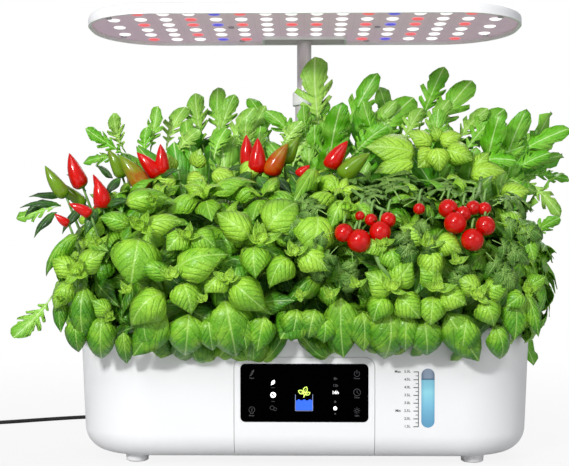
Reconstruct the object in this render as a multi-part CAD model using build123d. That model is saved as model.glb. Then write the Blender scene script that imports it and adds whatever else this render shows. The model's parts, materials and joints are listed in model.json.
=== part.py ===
from build123d import *

import math
import os

# A countertop hydroponic garden: a white water tank with a touch panel and a level window in its front, a
# deck of twelve planted pods, and a grow lamp on a telescopic mast. Inside the tank are a magnet-drive pump
# and a low-water float. A mains adapter feeds it through a thin lead at the back.
#
# Frame: millimetres, +Z up, the front faces -Y, and the origin lies on the table under the tank's middle.

# ---- Driving dimensions ----------------------------------------------------------------------------------

# Tank housing
housing_length = 404.0  # across the rim
housing_depth = 196.0
corner_radius = 70.0  # of the plan outline at the rim
rim_height = 112.0  # above the table
foot_height = 6.5  # clear space under the floor
wall = 3.0
floor_thickness = 4.0
draft_angle = 2.8  # the walls lean outwards by this much, in degrees
belly_radius = 22.0  # rounding between walls and floor

# Feet
foot_spread_x = 294.0
foot_spread_y = 120.0
foot_top_radius = 11.8
foot_bottom_radius = 9.6
pad_radius = 8.2
pad_thickness = 2.0
pad_proud = 0.8  # how far a pad stands out of its foot

# Control bay in the front of the tank
cover_width = 120.0
cover_top = 94.0
cover_corner = 9.0
cover_seam = 0.4
bay_depth = 24.0  # from the housing's front face at the rim
lens_width = 108.6
lens_height = 49.5
lens_corner = 4.2
lens_middle = 63.3  # height of its middle above the table
lens_thickness = 1.4
lens_gap = 0.15
lens_glue = 0.05  # between the lens and its seat
display_width = 34.0
display_height = 32.0
display_thickness = 3.0
display_room = 1.0  # how much larger its opening in the cover is
board_width = 96.0
board_height = 44.0
board_thickness = 1.6
board_gap = 4.5  # between the cover's inner face and the board
board_post_radius = 2.6
board_post_margin = 3.6  # from the board's edges to its posts' centres
board_screw_head_radius = 2.4
board_screw_head = 1.4

# Level window
window_x = 104.7
window_width = 11.3
window_low = 34.0
window_high = 84.3
window_flange = 3.5  # how far the inner flange reaches past the slot
window_flange_thickness = 1.6
window_gap = 0.05

# Planting deck
deck_thickness = 8.0
deck_edge_radius = 4.0
deck_border = 8.0
deck_recess = 1.2
deck_skin = 2.8
skirt_gap = 0.5
skirt_thickness = 2.0
skirt_depth = 6.0

# Pods
pod_columns = 6
pod_rows = 2
pod_pitch_x = 60.0
pod_row_inset = 63.0  # from the housing's front and back edges to the rows' centres
cup_top_radius = 18.6
cup_bottom_radius = 13.0
cup_depth = 54.0  # below the flange
cup_wall = 1.4
cup_flange_radius = 22.5
cup_flange_thickness = 1.6
cup_hole_gap = 0.5
cup_sides = 12
cup_slot_width = 4.0
cup_slot_pairs = 2
cup_slot_low = 4.2  # above the cup's floor
cup_slot_height = 32.4
sponge_depth = 36.0
sponge_gap = 0.3

# Fill port and its lid
port_x = 98.0
port_inset = 24.0  # from the housing's back edge to the port's middle
port_length = 40.0
port_depth = 18.0
port_corner = 4.0
port_wall = 2.0
port_spout = 8.0  # how far the spout hangs under the deck's skin
lid_length = 48.0
lid_reach_front = 13.0  # from the port's middle to its front edge
lid_reach_back = 10.4
lid_thickness = 2.0
lid_corner = 3.0
lid_lift = 0.3  # gap under the lid
lid_tab = 14.0
lid_tab_reach = 2.6
hinge_gap = 2.8  # from the lid's back edge to the pin
hinge_pin_radius = 1.0
hinge_running = 0.05
hinge_knuckle_radius = 2.0
hinge_knuckle_length = 24.0
hinge_ear = 4.0
hinge_side_gap = 0.4

# Rear bay, which keeps the mast socket and the inlet dry, and the wire duct to the control bay
mast_inset = 37.0  # from the housing's back edge to the mast's axis
rear_bay_radius = 17.0
rear_bay_wall = 2.5
rear_bay_top = 104.0
duct_width = 16.0
duct_height = 8.0
duct_wall = 2.0
base_cover_margin = 4.0
base_cover_thickness = 2.0
base_cover_gap = 0.2
base_cover_corner = 4.0
base_cover_sunk = 0.02  # how far the plate lies inside its seat
base_screw_radius = 1.8
base_screw_head = 1.2

# Mast
lower_mast_radius = 9.0
lower_mast_wall = 1.4
lower_mast_low = 62.0
lower_mast_high = 340.0
upper_mast_radius = 7.1
upper_mast_wall = 1.0
mast_running = 0.05
mast_overlap = 50.0  # of the tubes when the lamp is fully raised
lamp_travel = 180.0  # upwards from the height that the lamp stands at
socket_wall = 3.5
socket_floor = 2.0
socket_high = 122.0
socket_flange_radius = 16.0
socket_flange_thickness = 2.5
socket_gap = 0.1
collar_radius = 11.5
collar_high = 343.0
collar_height = 14.0
collar_edge = 1.5
bush_length = 12.0
bush_wall = 1.5

# Lamp
lamp_length = 402.0
lamp_depth = 149.0
lamp_corner = 66.0
lamp_low = 392.2  # underside of its rim
lamp_height = 10.5
lamp_rim = 2.6
lamp_top_radius = 5.0
lamp_skin = 2.2
lamp_recess = 3.2  # from the rim's underside up to the LED board
lamp_board_thickness = 1.6
lamp_board_gap = 0.3
lamp_pad_length = 84.0
lamp_mast_inset = 13.5  # from the lamp's back edge to the mast's axis
lamp_pad_reach = 17.0  # from the mast's axis to its pad's front edge
lamp_pad_corner = 6.0
lamp_pad_wall = 2.6
bracket_gap = 0.2
bracket_sunk = 0.8  # how far the bracket's underside lies above the pad's
mast_seat = 7.5  # how far the mast reaches up into the lamp
led_column_inset = 51.89  # from the lamp's ends to the outermost columns
led_row_inset = 17.15  # from its sides to the outermost rows
led_width = 10.6
led_height = 1.3
led_sides = 6
led_end_inset = 27.0  # from the lamp's ends to the LEDs in its ends
led_end_side_inset = 42.5
lamp_screw_radius = 2.8
lamp_screw_head = 1.2
lamp_boss_radius = 3.6

# Each string is one column of LEDs from the front to the back, from the lamp's left end to its middle. The
# right half mirrors it. W is white, R red and B blue, and - is a place that the mast pad takes.
led_columns = ("RWRWWR", "WWWWWW", "WRRWRW", "BWBWWB", "RWRWWR", "WWWWW-", "WWRWW-")
lamp_screw_middle_inset = 132.2  # from its ends, on its middle line
lamp_screw_end_inset = 24.0  # from the lamp's ends
lamp_screw_side_inset = 32.5  # from its sides, at its ends
lamp_screw_back_x = 62.0
lamp_screw_back_inset = 8.5

# Pump
pump_x = -120.0
pump_y = 5.0
pump_length = 44.0
pump_depth = 34.0
pump_height = 32.0
pump_corner = 4.0
pump_foot_height = 3.0
pump_foot_radius = 5.0
pump_foot_tip_radius = 3.0
pump_foot_margin = 7.0  # from the body's edges to the feet's centres
pump_cover_thickness = 3.0
pump_slot_width = 2.0
pump_slot_pitch = 5.0
pump_slot_height = 24.0
pump_slots = 5  # the middle one is left shut
pump_chamber_radius = 12.0
pump_chamber_depth = 10.0
rotor_radius = 6.0
rotor_length = 18.0
rotor_gap = 0.8
rotor_play = 1.0  # free length at both ends of the impeller
vane_radius = 10.5
vane_length = 7.0
vane_thickness = 1.6
vanes = 6
impeller_shaft_radius = 1.2
impeller_running = 0.05
shaft_seat = 2.0
riser_radius = 6.0
riser_wall = 1.5
riser_high = 103.0
pump_lead_diameter = 3.0
pump_lead_reach = 17.0  # straight out of the pump's body
pump_lead_front = 16.0  # from the housing's front to the lead's last run
pump_lead_high = 83.0

# Low-water float
float_x = 76.0
float_y = -60.0
float_radius = 9.5
float_height = 13.0
float_running = 0.3
float_travel = 30.0
stem_radius = 2.5
stem_high = 60.0
stem_stop_radius = 5.0
stem_stop_thickness = 2.0
stem_foot_radius = 8.0

# Power inlet, lead and adapter
inlet_z = 28.0
inlet_flange_radius = 7.5
inlet_flange_thickness = 1.4
inlet_gap = 0.3  # round the flange, in the flat that is faced for it
inlet_body_radius = 5.2
inlet_body_length = 12.0
plug_barrel_radius = 2.75
plug_barrel_length = 9.5
plug_barrel_gap = 0.05
plug_grip_radius = 5.0
plug_grip_length = 20.0
plug_grip_edge = 1.0
relief_length = 16.0
relief_tip_radius = 2.6
relief_sunk = 0.2  # how far the relief reaches into the grip
cord_diameter = 4.0
coil_radius = 23.0  # middle of the turns
coil_turns_wide = 3
coil_height = 12.0
coil_x = -365.0
coil_y = 96.0
tie_width = 9.0
tie_thickness = 1.0
tie_turn = -60.0  # where round the coil the strap sits
adapter_length = 74.0
adapter_width = 44.0
adapter_height = 30.0
adapter_corner = 6.0
adapter_edge = 2.0
adapter_relief_length = 16.0
adapter_relief_radius = 4.2
adapter_front_gap = 20.0  # from the coil's middle to the relief's tip
blade_spacing = 12.7
blade_width = 6.3
blade_thickness = 1.5
blade_length = 17.0

# Planting: the mass of each pod's leaves, and the arugula's tall leaves
foliage_gap = 0.6
foliage_clear = 3.0  # from the housing and the deck
front_reach_x = 226.0  # of the front row, from the garden's middle
back_reach_x = 258.0
foliage_reach_y = 144.0
foliage_swell = 2.6  # roundness of the rows' sections
foliage_flat = 0.3  # of the reach, flat above and below
foliage_facets = 8
foliage_full = 0.58  # the rows keep their full section over this share of their length
foliage_ends = [(0.75, 0.93), (0.9, 0.74), (1.0, 0.42)]  # how the section shrinks beyond that
basil_low = 86.0
basil_high = 240.0
pepper_low = 112.0
pepper_high = 290.0
tomato_low = 112.0
tomato_high = 276.0
arugula_low = 112.0
arugula_high = 262.0
plant_stem_radius = 3.0
mast_clear = 15.0
lid_clear = 6.0  # from the lid as it opens
frond_root = 205.0  # height at which the arugula's tall leaves start, inside the mass
frond_root_share = 0.2  # of the way out to the tip
frond_thickness = 8.0
frond_outline = [(0.16, 0.0), (0.3, 0.3), (0.5, 0.62), (0.46, 0.82), (0.14, 1.0)]  # half widths along it
arugula_fronds = {  # tips and widths of each plant's tall leaves
    1: [
        (-194, 30, 314, 24), (-205, 75, 296, 24), (-140, 40, 322, 26), (-112, 50, 338, 32),
        (-90, 65, 343, 28), (-62, 35, 327, 28), (-120, 110, 318, 28), (-70, 118, 322, 26),
    ],
    3: [
        (-24, 34, 358, 26), (0, 30, 370, 44), (33, 45, 338, 26), (60, 55, 361, 28),
        (88, 35, 342, 38), (44, 112, 330, 30), (8, 118, 336, 26), (-32, 104, 330, 26),
    ],
    5: [
        (128, 60, 370, 30), (150, 50, 357, 38), (186, 40, 330, 32), (168, 90, 326, 28),
        (222, 50, 304, 30), (249, 30, 312, 32), (240, 96, 276, 28), (196, 122, 300, 28),
    ],
}
planting = [
    ("basil", "basil", "basil", "basil", "basil", "basil"),  # the front row, from the left
    ("pepper", "arugula", "pepper", "arugula", "tomato", "arugula"),  # the back row
]

# ---- Values that follow ----------------------------------------------------------------------------------

slope = math.tan(math.radians(draft_angle))
front_y = -housing_depth / 2
back_y = housing_depth / 2
tank_floor = foot_height + floor_thickness
mast_y = back_y - mast_inset
deck_top = rim_height + deck_thickness
deck_face = deck_top - deck_recess  # the recessed face that the pods stand on
deck_under = deck_face - deck_skin
hinge_z = deck_face + lid_lift + lid_thickness
port_y = back_y - port_inset
lid_front = port_y - lid_reach_front
lid_back = port_y + lid_reach_back
pod_row_y = back_y - pod_row_inset
hinge_y = lid_back + hinge_gap
socket_radius = lower_mast_radius + socket_wall
lamp_y = mast_y + lamp_mast_inset - lamp_depth / 2
lamp_high = lamp_low + lamp_height
lamp_board_low = lamp_low + lamp_recess
lamp_board_high = lamp_board_low + lamp_board_thickness
upper_mast_low = collar_high - lamp_travel - mast_overlap
pump_low = tank_floor + pump_foot_height
pump_middle_z = pump_low + pump_height / 2
pump_left = pump_x - pump_length / 2
pump_right = pump_x + pump_length / 2
past = 30.0  # how far a cutting tool runs past what it cuts
overlap = 0.5  # how far pieces of one solid reach into each other before they are fused

pods = [
    ((column - (pod_columns - 1) / 2) * pod_pitch_x, (2 * row - (pod_rows - 1)) * pod_row_y)
    for row in range(pod_rows)
    for column in range(pod_columns)
]
standing = (Align.CENTER, Align.CENTER, Align.MIN)


# ---- Shapes that several pieces share --------------------------------------------------------------------


def skin_outline(inset, z):
    """The housing's plan outline at height z, moved inwards by inset."""
    shrink = inset + (rim_height - z) * slope
    length = housing_length - 2 * shrink
    depth = housing_depth - 2 * shrink
    return Pos(0, 0, z) * RectangleRounded(length, depth, corner_radius - shrink)


def tub(inset, floor_inset, top):
    """A block bounded by the housing's skin moved inwards by inset, with a rounded belly."""
    low = foot_height + floor_inset
    block = extrude(skin_outline(inset, low), amount=top - low, taper=-draft_angle)
    return fillet(block.faces().sort_by(Axis.Z)[0].edges(), belly_radius - max(inset, 0))


def front_skin(z, inset):
    """The y of the housing's front face at height z, moved inwards by inset."""
    return front_y + inset + (rim_height - z) * slope


def upright(radius, low, high):
    """A vertical cylinder about the origin's axis between two heights."""
    return Pos(0, 0, low) * Cylinder(radius, high - low, align=standing)


def along_x(radius, x, y, z):
    """A cylinder along X between two x values."""
    return Pos(x[0], y, z) * Rot(0, 90, 0) * Cylinder(radius, x[1] - x[0], align=standing)


def along_y(radius, y, x, z):
    """A cylinder along Y between two y values."""
    return Pos(x, y[0], z) * Rot(-90, 0, 0) * Cylinder(radius, y[1] - y[0], align=standing)


def prism(profile, back, reach):
    """A profile drawn in X and Z, run from y = back towards the front by reach."""
    return extrude(Plane.XZ.offset(-back) * profile, amount=reach)


def frustum(radius_low, radius_high, low, high, sides):
    """An upright block between two regular polygons, which the radii circumscribe."""
    bottom = Pos(0, 0, low) * RegularPolygon(radius_low, sides)
    top = Pos(0, 0, high) * RegularPolygon(radius_high, sides)
    return loft([bottom.face(), top.face()], ruled=True)


def block(x, y, z):
    """A box between two x values, two y values and two z values."""
    return Pos(x[0], y[0], z[0]) * Box(
        x[1] - x[0], y[1] - y[0], z[1] - z[0], align=(Align.MIN, Align.MIN, Align.MIN)
    )


# ---- Tank housing and its feet ---------------------------------------------------------------------------


def foot_places():
    """Centres of the four feet."""
    return [(sx * foot_spread_x / 2, sy * foot_spread_y / 2) for sx in (-1, 1) for sy in (-1, 1)]


def cover_profile(growth):
    """The control cover's outline, which runs off the housing's lower edge."""
    low = -past
    high = cover_top + growth
    width = cover_width + 2 * growth
    return Pos(0, (low + high) / 2) * RectangleRounded(width, high - low, cover_corner + growth)


def window_profile(growth):
    """The level window's outline."""
    height = window_high - window_low + 2 * growth
    place = Pos(window_x, (window_low + window_high) / 2) * Rot(0, 0, 90)
    return place * SlotOverall(height, window_width + 2 * growth)


def rear_bay(radius, low, high):
    """The rear bay's volume: round about the mast, and straight from there to the back wall."""
    straight = block((-radius, radius), (mast_y, back_y), (low, high))
    return Pos(0, mast_y, 0) * upright(radius, low, high) + straight


def duct(growth, low):
    """The wire duct's volume along the floor, from the control bay to the rear bay."""
    half = duct_width / 2 + growth
    front = front_y + bay_depth - wall
    return block((-half, half), (front, mast_y), (low, tank_floor + duct_height + growth))


def base_opening(growth):
    """The opening under the rear bay and the duct, seen from below."""
    reach = rear_bay_radius - rear_bay_wall + growth
    half = duct_width / 2 + growth
    front = front_y + bay_depth + wall + base_cover_margin - growth
    bay = Pos(0, mast_y) * RectangleRounded(2 * reach, 2 * reach, base_cover_corner + growth)
    run = Pos(0, (front + mast_y) / 2) * Rectangle(2 * half, mast_y - front)
    return extrude(bay + run, amount=tank_floor + past)


def base_screw_places():
    """Centres of the base cover's screws, in the middle of its margin."""
    near = duct_width / 2 + base_cover_margin / 2
    far = rear_bay_radius - rear_bay_wall + base_cover_margin / 2
    sides = [(sx * near, y) for sx in (-1, 1) for y in (front_y + 2 * bay_depth, 0.0)]
    return sides + [(sx * far, mast_y) for sx in (-1, 1)]


def make_housing():
    """One moulding: the tank, the walls of the control bay and of the rear bay, the duct and the feet."""
    skin = tub(0, 0, rim_height)
    body = skin
    for x, y in foot_places():
        foot = Cone(foot_bottom_radius, foot_top_radius, belly_radius - pad_proud, align=standing)
        body += Pos(x, y, pad_proud) * foot
    body -= tub(wall, floor_thickness, rim_height + past)
    bay_back = front_y + bay_depth
    body += prism(cover_profile(wall), bay_back + wall, bay_depth + wall + past) & skin
    body += rear_bay(rear_bay_radius, foot_height, rear_bay_top) & skin
    body += duct(duct_wall, foot_height)
    body -= prism(cover_profile(0), bay_back, bay_depth + past)
    inside = tub(wall, floor_thickness, rim_height)
    body -= rear_bay(rear_bay_radius - rear_bay_wall, 0, rear_bay_top - rear_bay_wall) & inside
    body -= duct(0, tank_floor)
    body -= base_opening(0)
    hole = upright(socket_radius + socket_gap, rear_bay_top - past / 2, rear_bay_top + past)
    body -= Pos(0, mast_y, 0) * hole
    body -= prism(window_profile(0), 0, past - front_y)
    seat = skin - tub(base_cover_thickness, base_cover_thickness, rim_height)
    body -= seat & base_opening(base_cover_margin + base_cover_gap)
    body -= along_y(inlet_body_radius, (inlet_face - inlet_body_length, inlet_face + past), 0, inlet_z)
    body -= along_y(inlet_flange_radius + inlet_gap, (inlet_face, inlet_face + past), 0, inlet_z)
    for x, y in foot_places():
        body -= Pos(x, y, 0) * upright(pad_radius + base_cover_gap, 0, pad_thickness)
    return body


def make_foot_pads():
    """Rubber pads set into the feet."""
    return [Pos(x, y, 0) * upright(pad_radius, 0, pad_thickness) for x, y in foot_places()]


def make_base_cover():
    """The plate that closes the duct and the rear bay from below."""
    thickness = base_cover_thickness - base_cover_sunk
    plate = tub(0, 0, rim_height) - tub(thickness, thickness, rim_height)
    plate &= base_opening(base_cover_margin)
    for x, y in base_screw_places():
        plate -= Pos(x, y, 0) * upright(base_screw_radius, 0, foot_height + base_screw_head)
    return plate


def make_base_screws():
    """Countersunk-flush screw heads under the base cover."""
    head = upright(base_screw_radius, foot_height, foot_height + base_screw_head)
    return [Pos(x, y, 0) * head for x, y in base_screw_places()]


# ---- Control bay -----------------------------------------------------------------------------------------


def lens_profile(growth):
    """The display lens's outline."""
    width = lens_width + 2 * growth
    height = lens_height + 2 * growth
    return Pos(0, lens_middle) * RectangleRounded(width, height, lens_corner + growth)


def board_corners():
    """The x and z of the control board's four posts."""
    half_x = board_width / 2 - board_post_margin
    half_z = board_height / 2 - board_post_margin
    return [(sx * half_x, lens_middle + sz * half_z) for sx in (-1, 1) for sz in (-1, 1)]


board_front = front_skin(lens_middle - board_height / 2, wall) + board_gap


def make_control_cover():
    """The white cover of the control bay, with a seat for the lens and posts for the board."""
    shell = tub(0, 0, rim_height) - tub(wall, floor_thickness, rim_height + past)
    cover = shell & prism(cover_profile(-cover_seam), front_y + bay_depth - cover_seam, bay_depth + past)
    seat = tub(-overlap, -overlap, rim_height) - tub(lens_thickness, lens_thickness, rim_height + past)
    cover -= seat & prism(lens_profile(lens_gap), 0, past - front_y)
    opening = Pos(0, lens_middle) * Rectangle(display_width + display_room, display_height + display_room)
    cover -= prism(opening, 0, past - front_y)
    for x, z in board_corners():
        start = front_skin(z, wall) - overlap
        cover += along_y(board_post_radius, (start, board_front), x, z)
    return cover


def make_display_lens():
    """The glossy black touch lens, flush with the cover."""
    thickness = lens_thickness - lens_glue
    layer = tub(0, 0, rim_height) - tub(thickness, thickness, rim_height + past)
    return layer & prism(lens_profile(0), 0, past - front_y)


def make_display_module():
    """The lit display behind the lens, seated on the board."""
    low, high = lens_middle - display_height / 2, lens_middle + display_height / 2
    half = display_width / 2
    return block((-half, half), (board_front - display_thickness, board_front), (low, high))


def make_control_board():
    """The control board, screwed to the cover's posts."""
    low, high = lens_middle - board_height / 2, lens_middle + board_height / 2
    half = board_width / 2
    return block((-half, half), (board_front, board_front + board_thickness), (low, high))


def make_board_screws():
    """Heads of the four screws behind the control board."""
    start = board_front + board_thickness
    end = start + board_screw_head
    return [along_y(board_screw_head_radius, (start, end), x, z) for x, z in board_corners()]


def make_level_window():
    """The clear window: a capsule that fills the slot, on a flange inside the wall."""
    face = tub(0, 0, rim_height) - tub(wall, floor_thickness, rim_height + past)
    flange_inset = wall + window_flange_thickness
    inside = tub(wall, floor_thickness, rim_height) - tub(flange_inset, floor_thickness, rim_height + past)
    capsule = face & prism(window_profile(-window_gap), 0, past - front_y)
    return capsule + (inside & prism(window_profile(window_flange), 0, past - front_y))


# ---- Planting deck, pods and fill lid --------------------------------------------------------------------


def deck_plan(inset, z):
    """The deck's outline at height z, inset from the housing's rim."""
    length = housing_length - 2 * inset
    depth = housing_depth - 2 * inset
    return Pos(0, 0, z) * RectangleRounded(length, depth, corner_radius - inset)


def port_plan(growth, z):
    """The fill port's outline at height z."""
    length = port_length + 2 * growth
    depth = port_depth + 2 * growth
    return Pos(port_x, port_y, z) * RectangleRounded(length, depth, port_corner + growth)


def hinge_ear_spans():
    """The x spans of the deck's two hinge ears."""
    near = hinge_knuckle_length / 2 + hinge_side_gap
    far = near + hinge_ear
    return [(port_x - far, port_x - near), (port_x + near, port_x + far)]


def make_grow_deck():
    """The deck: a shallow tray on the rim, with a skirt inside it, pod holes, a mast hole and a fill port."""
    deck = extrude(deck_plan(0, rim_height), amount=deck_thickness)
    deck = fillet(deck.faces().sort_by(Axis.Z)[-1].edges(), deck_edge_radius)
    deck -= extrude(deck_plan(deck_border, deck_face), amount=past)
    skirt_inset = wall + skirt_gap
    skirt_low = rim_height - skirt_depth
    deck += extrude(deck_plan(skirt_inset, skirt_low), amount=skirt_depth)
    deck -= extrude(deck_plan(skirt_inset + skirt_thickness, skirt_low), amount=deck_under - skirt_low)
    deck += extrude(port_plan(port_wall, deck_under - port_spout), amount=port_spout + overlap)
    deck -= extrude(port_plan(0, skirt_low - past), amount=2 * past)
    for x, y in pods:
        deck -= Pos(x, y, 0) * upright(cup_top_radius + cup_hole_gap, deck_under - overlap, deck_top + past)
    deck -= Pos(0, mast_y, 0) * upright(socket_radius + cup_hole_gap, deck_under - overlap, deck_top + past)
    for span in hinge_ear_spans():
        ear = along_x(hinge_knuckle_radius, span, hinge_y, hinge_z)
        half = hinge_knuckle_radius
        ear += block(span, (hinge_y - half, hinge_y + half), (deck_face - overlap, hinge_z))
        deck += ear
    pin_span = (hinge_ear_spans()[0][0] - past, hinge_ear_spans()[1][1] + past)
    return deck - along_x(hinge_pin_radius, pin_span, hinge_y, hinge_z)


def make_fill_lid():
    """The flap over the fill port, with its knuckle and finger tab."""
    low, high = deck_face + lid_lift, deck_face + lid_lift + lid_thickness
    half = lid_length / 2
    plate = block((port_x - half, port_x + half), (lid_front, lid_back), (low, high))
    plate = fillet(plate.edges().filter_by(Axis.Z), lid_corner)
    tab = lid_tab / 2
    tab_span = (lid_front - lid_tab_reach, lid_front + overlap)
    plate += block((port_x - tab, port_x + tab), tab_span, (low, high))
    knuckle = hinge_knuckle_length / 2
    span = (port_x - knuckle, port_x + knuckle)
    plate += block(span, (lid_back - overlap, hinge_y), (low, high))
    plate += along_x(hinge_knuckle_radius, span, hinge_y, hinge_z)
    return plate - along_x(hinge_pin_radius + hinge_running, (span[0] - 1, span[1] + 1), hinge_y, hinge_z)


def make_fill_lid_pin():
    """The steel pin, held in the deck's two ears."""
    spans = hinge_ear_spans()
    return along_x(hinge_pin_radius, (spans[0][0], spans[1][1]), hinge_y, hinge_z)


def net_cup():
    """A slotted basket that hangs in the deck by its flange, drawn with the flange's underside at z = 0."""
    cup = frustum(cup_bottom_radius, cup_top_radius, -cup_depth, 0, cup_sides)
    cup += extrude(RegularPolygon(cup_flange_radius, cup_sides), amount=cup_flange_thickness)
    narrowing = (cup_top_radius - cup_bottom_radius) / cup_depth
    inner_low = cup_bottom_radius - cup_wall + narrowing * cup_wall
    inner_high = cup_top_radius - cup_wall + narrowing * cup_flange_thickness
    cup -= frustum(inner_low, inner_high, cup_wall - cup_depth, cup_flange_thickness, cup_sides)
    slot = Box(2 * past + cup_top_radius, cup_slot_width, cup_slot_height, align=standing)
    for turn in range(cup_slot_pairs):
        cup -= Pos(0, 0, cup_slot_low - cup_depth) * Rot(0, 0, 180 / cup_slot_pairs * turn) * slot
    return cup


def make_net_cups():
    """The twelve net cups."""
    cup = net_cup()
    return [Pos(x, y, deck_face) * cup for x, y in pods]


def make_grow_sponges():
    """The tapered sponge plugs in the cups."""
    narrowing = (cup_top_radius - cup_bottom_radius) / cup_depth
    top = cup_top_radius - cup_wall - sponge_gap
    sponge = frustum(top - narrowing * sponge_depth, top, -sponge_depth, 0, cup_sides)
    return [Pos(x, y, deck_face) * sponge for x, y in pods]


# ---- Mast ------------------------------------------------------------------------------------------------


def tube(radius, bore, low, high):
    """An upright tube on the mast's axis."""
    hole = upright(bore, low - 1, high + 1)
    return Pos(0, mast_y, 0) * (upright(radius, low, high) - hole)


def make_mast_socket():
    """The cup that holds the mast's foot, hung by its flange in the rear bay's roof."""
    floor = lower_mast_low - socket_floor
    socket = upright(socket_radius, floor, socket_high)
    socket += upright(socket_flange_radius, rear_bay_top, rear_bay_top + socket_flange_thickness)
    socket -= upright(lower_mast_radius + mast_running, lower_mast_low, socket_high + past)
    return Pos(0, mast_y, 0) * socket


def make_lower_mast():
    """The fixed tube of the mast."""
    return tube(lower_mast_radius, lower_mast_radius - lower_mast_wall, lower_mast_low, lower_mast_high)


def make_mast_collar():
    """The white collar on top of the lower tube, which guides the upper one."""
    low = collar_high - collar_height
    collar = upright(collar_radius, low, collar_high)
    collar = chamfer(collar.edges().group_by(Axis.Z)[-1], collar_edge)
    collar -= upright(lower_mast_radius, low - 1, lower_mast_high)
    collar -= upright(upper_mast_radius + mast_running, low, collar_high + 1)
    return Pos(0, mast_y, 0) * collar


def make_upper_mast():
    """The sliding tube that carries the lamp."""
    return tube(upper_mast_radius, upper_mast_radius - upper_mast_wall, upper_mast_low, lamp_low + mast_seat)


def make_mast_bush():
    """The bush on the upper tube's foot, which runs in the lower tube."""
    bore = lower_mast_radius - lower_mast_wall
    plug = upper_mast_radius - upper_mast_wall
    bush = upright(bore - mast_running, upper_mast_low - bush_length / 2, upper_mast_low)
    bush += upright(plug, upper_mast_low - bush_length / 2, upper_mast_low + bush_length / 2)
    bush -= upright(plug - bush_wall, upper_mast_low - past, upper_mast_low + past)
    return Pos(0, mast_y, 0) * bush


# ---- Lamp ------------------------------------------------------------------------------------------------


def lamp_plan(inset, z):
    """The lamp's outline at height z, inset from its rim."""
    length = lamp_length - 2 * inset
    depth = lamp_depth - 2 * inset
    return Pos(0, lamp_y, z) * RectangleRounded(length, depth, lamp_corner - inset)


def mast_pad(growth, low, high):
    """The raised pad that the mast enters, at the lamp's back, grown or shrunk all round."""
    back = lamp_y + lamp_depth / 2 - lamp_rim + min(growth, 0) + (past if growth >= 0 else lamp_pad_wall)
    front = mast_y - lamp_pad_reach - growth
    length = lamp_pad_length + 2 * growth
    corner = lamp_pad_corner + min(growth, 0)
    plan = Pos(0, (front + back) / 2) * RectangleRounded(length, back - front, corner)
    return extrude(Pos(0, 0, low) * plan, amount=high - low)


def lamp_screws():
    """Centres of the screws that hold the LED board."""
    end_x = lamp_length / 2 - lamp_screw_end_inset
    end_y = lamp_depth / 2 - lamp_screw_side_inset
    side_y = lamp_depth / 2 - lamp_screw_back_inset
    middle_x = lamp_length / 2 - lamp_screw_middle_inset
    places = [(middle_x, 0.0), (end_x, end_y), (end_x, -end_y), (lamp_screw_back_x, side_y)]
    return [(sx * x, lamp_y + y) for x, y in places for sx in (-1, 1)]


def led_places():
    """The place and colour of every LED."""
    found = []
    rows = len(led_columns[0])
    middle = len(led_columns) - 0.5
    pitch_x = (lamp_length / 2 - led_column_inset) / middle
    pitch_y = (lamp_depth / 2 - led_row_inset) / ((rows - 1) / 2)
    for number, column in enumerate(led_columns):
        for row, colour in enumerate(column):
            x = (middle - number) * pitch_x
            y = lamp_y + (row - (rows - 1) / 2) * pitch_y
            found += [(-x, y, colour), (x, y, colour)]
    end_x = lamp_length / 2 - led_end_inset
    for row in (-1, 0, 1):
        y = lamp_y + row * (lamp_depth / 2 - led_end_side_inset)
        found += [(-end_x, y, "W"), (end_x, y, "W")]
    return found


def make_lamp_shell():
    """The lamp's white tray, open downwards, with screw bosses and the mast pad."""
    whole = extrude(lamp_plan(0, lamp_low), amount=lamp_height)
    whole = fillet(whole.faces().sort_by(Axis.Z)[-1].edges(), lamp_top_radius)
    shell = whole - extrude(lamp_plan(lamp_rim, lamp_low), amount=lamp_height - lamp_skin)
    shell += mast_pad(0, lamp_low, lamp_high) & whole
    shell -= mast_pad(-lamp_pad_wall, lamp_low - 1, lamp_high - lamp_skin)
    for x, y in lamp_screws():
        boss = upright(lamp_boss_radius, lamp_board_high, lamp_high - lamp_skin + overlap)
        shell += Pos(x, y, 0) * boss
    return shell


def make_mast_bracket():
    """The block in the pad's pocket that clamps the mast's upper end."""
    block_of_pad = mast_pad(-lamp_pad_wall - bracket_gap, lamp_low + bracket_sunk, lamp_high - lamp_skin)
    return block_of_pad - Pos(0, mast_y, 0) * upright(upper_mast_radius, lamp_low, lamp_low + mast_seat)


def make_led_board():
    """The aluminium-backed LED board."""
    board = extrude(lamp_plan(lamp_rim + lamp_board_gap, lamp_board_low), amount=lamp_board_thickness)
    board -= mast_pad(lamp_board_gap, lamp_board_low - 1, lamp_board_high + 1)
    return board


def make_leds(colour):
    """The LED lenses of one colour, on the board's underside."""
    lens = extrude(RegularPolygon(led_width / 2, led_sides), amount=led_height)
    low = lamp_board_low - led_height
    return [Pos(x, y, low) * lens for x, y, c in led_places() if c == colour]


def make_lamp_screws():
    """The heads of the screws that hold the LED board to the shell's bosses."""
    low = lamp_board_low - lamp_screw_head
    screw = upright(lamp_screw_radius, low, lamp_board_low)
    return [Pos(x, y, 0) * screw for x, y in lamp_screws()]


# ---- Pump and float --------------------------------------------------------------------------------------


def on_pump_axis(radius, x):
    """A cylinder on the pump's axis between two x values."""
    return along_x(radius, x, pump_y, pump_middle_z)


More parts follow.
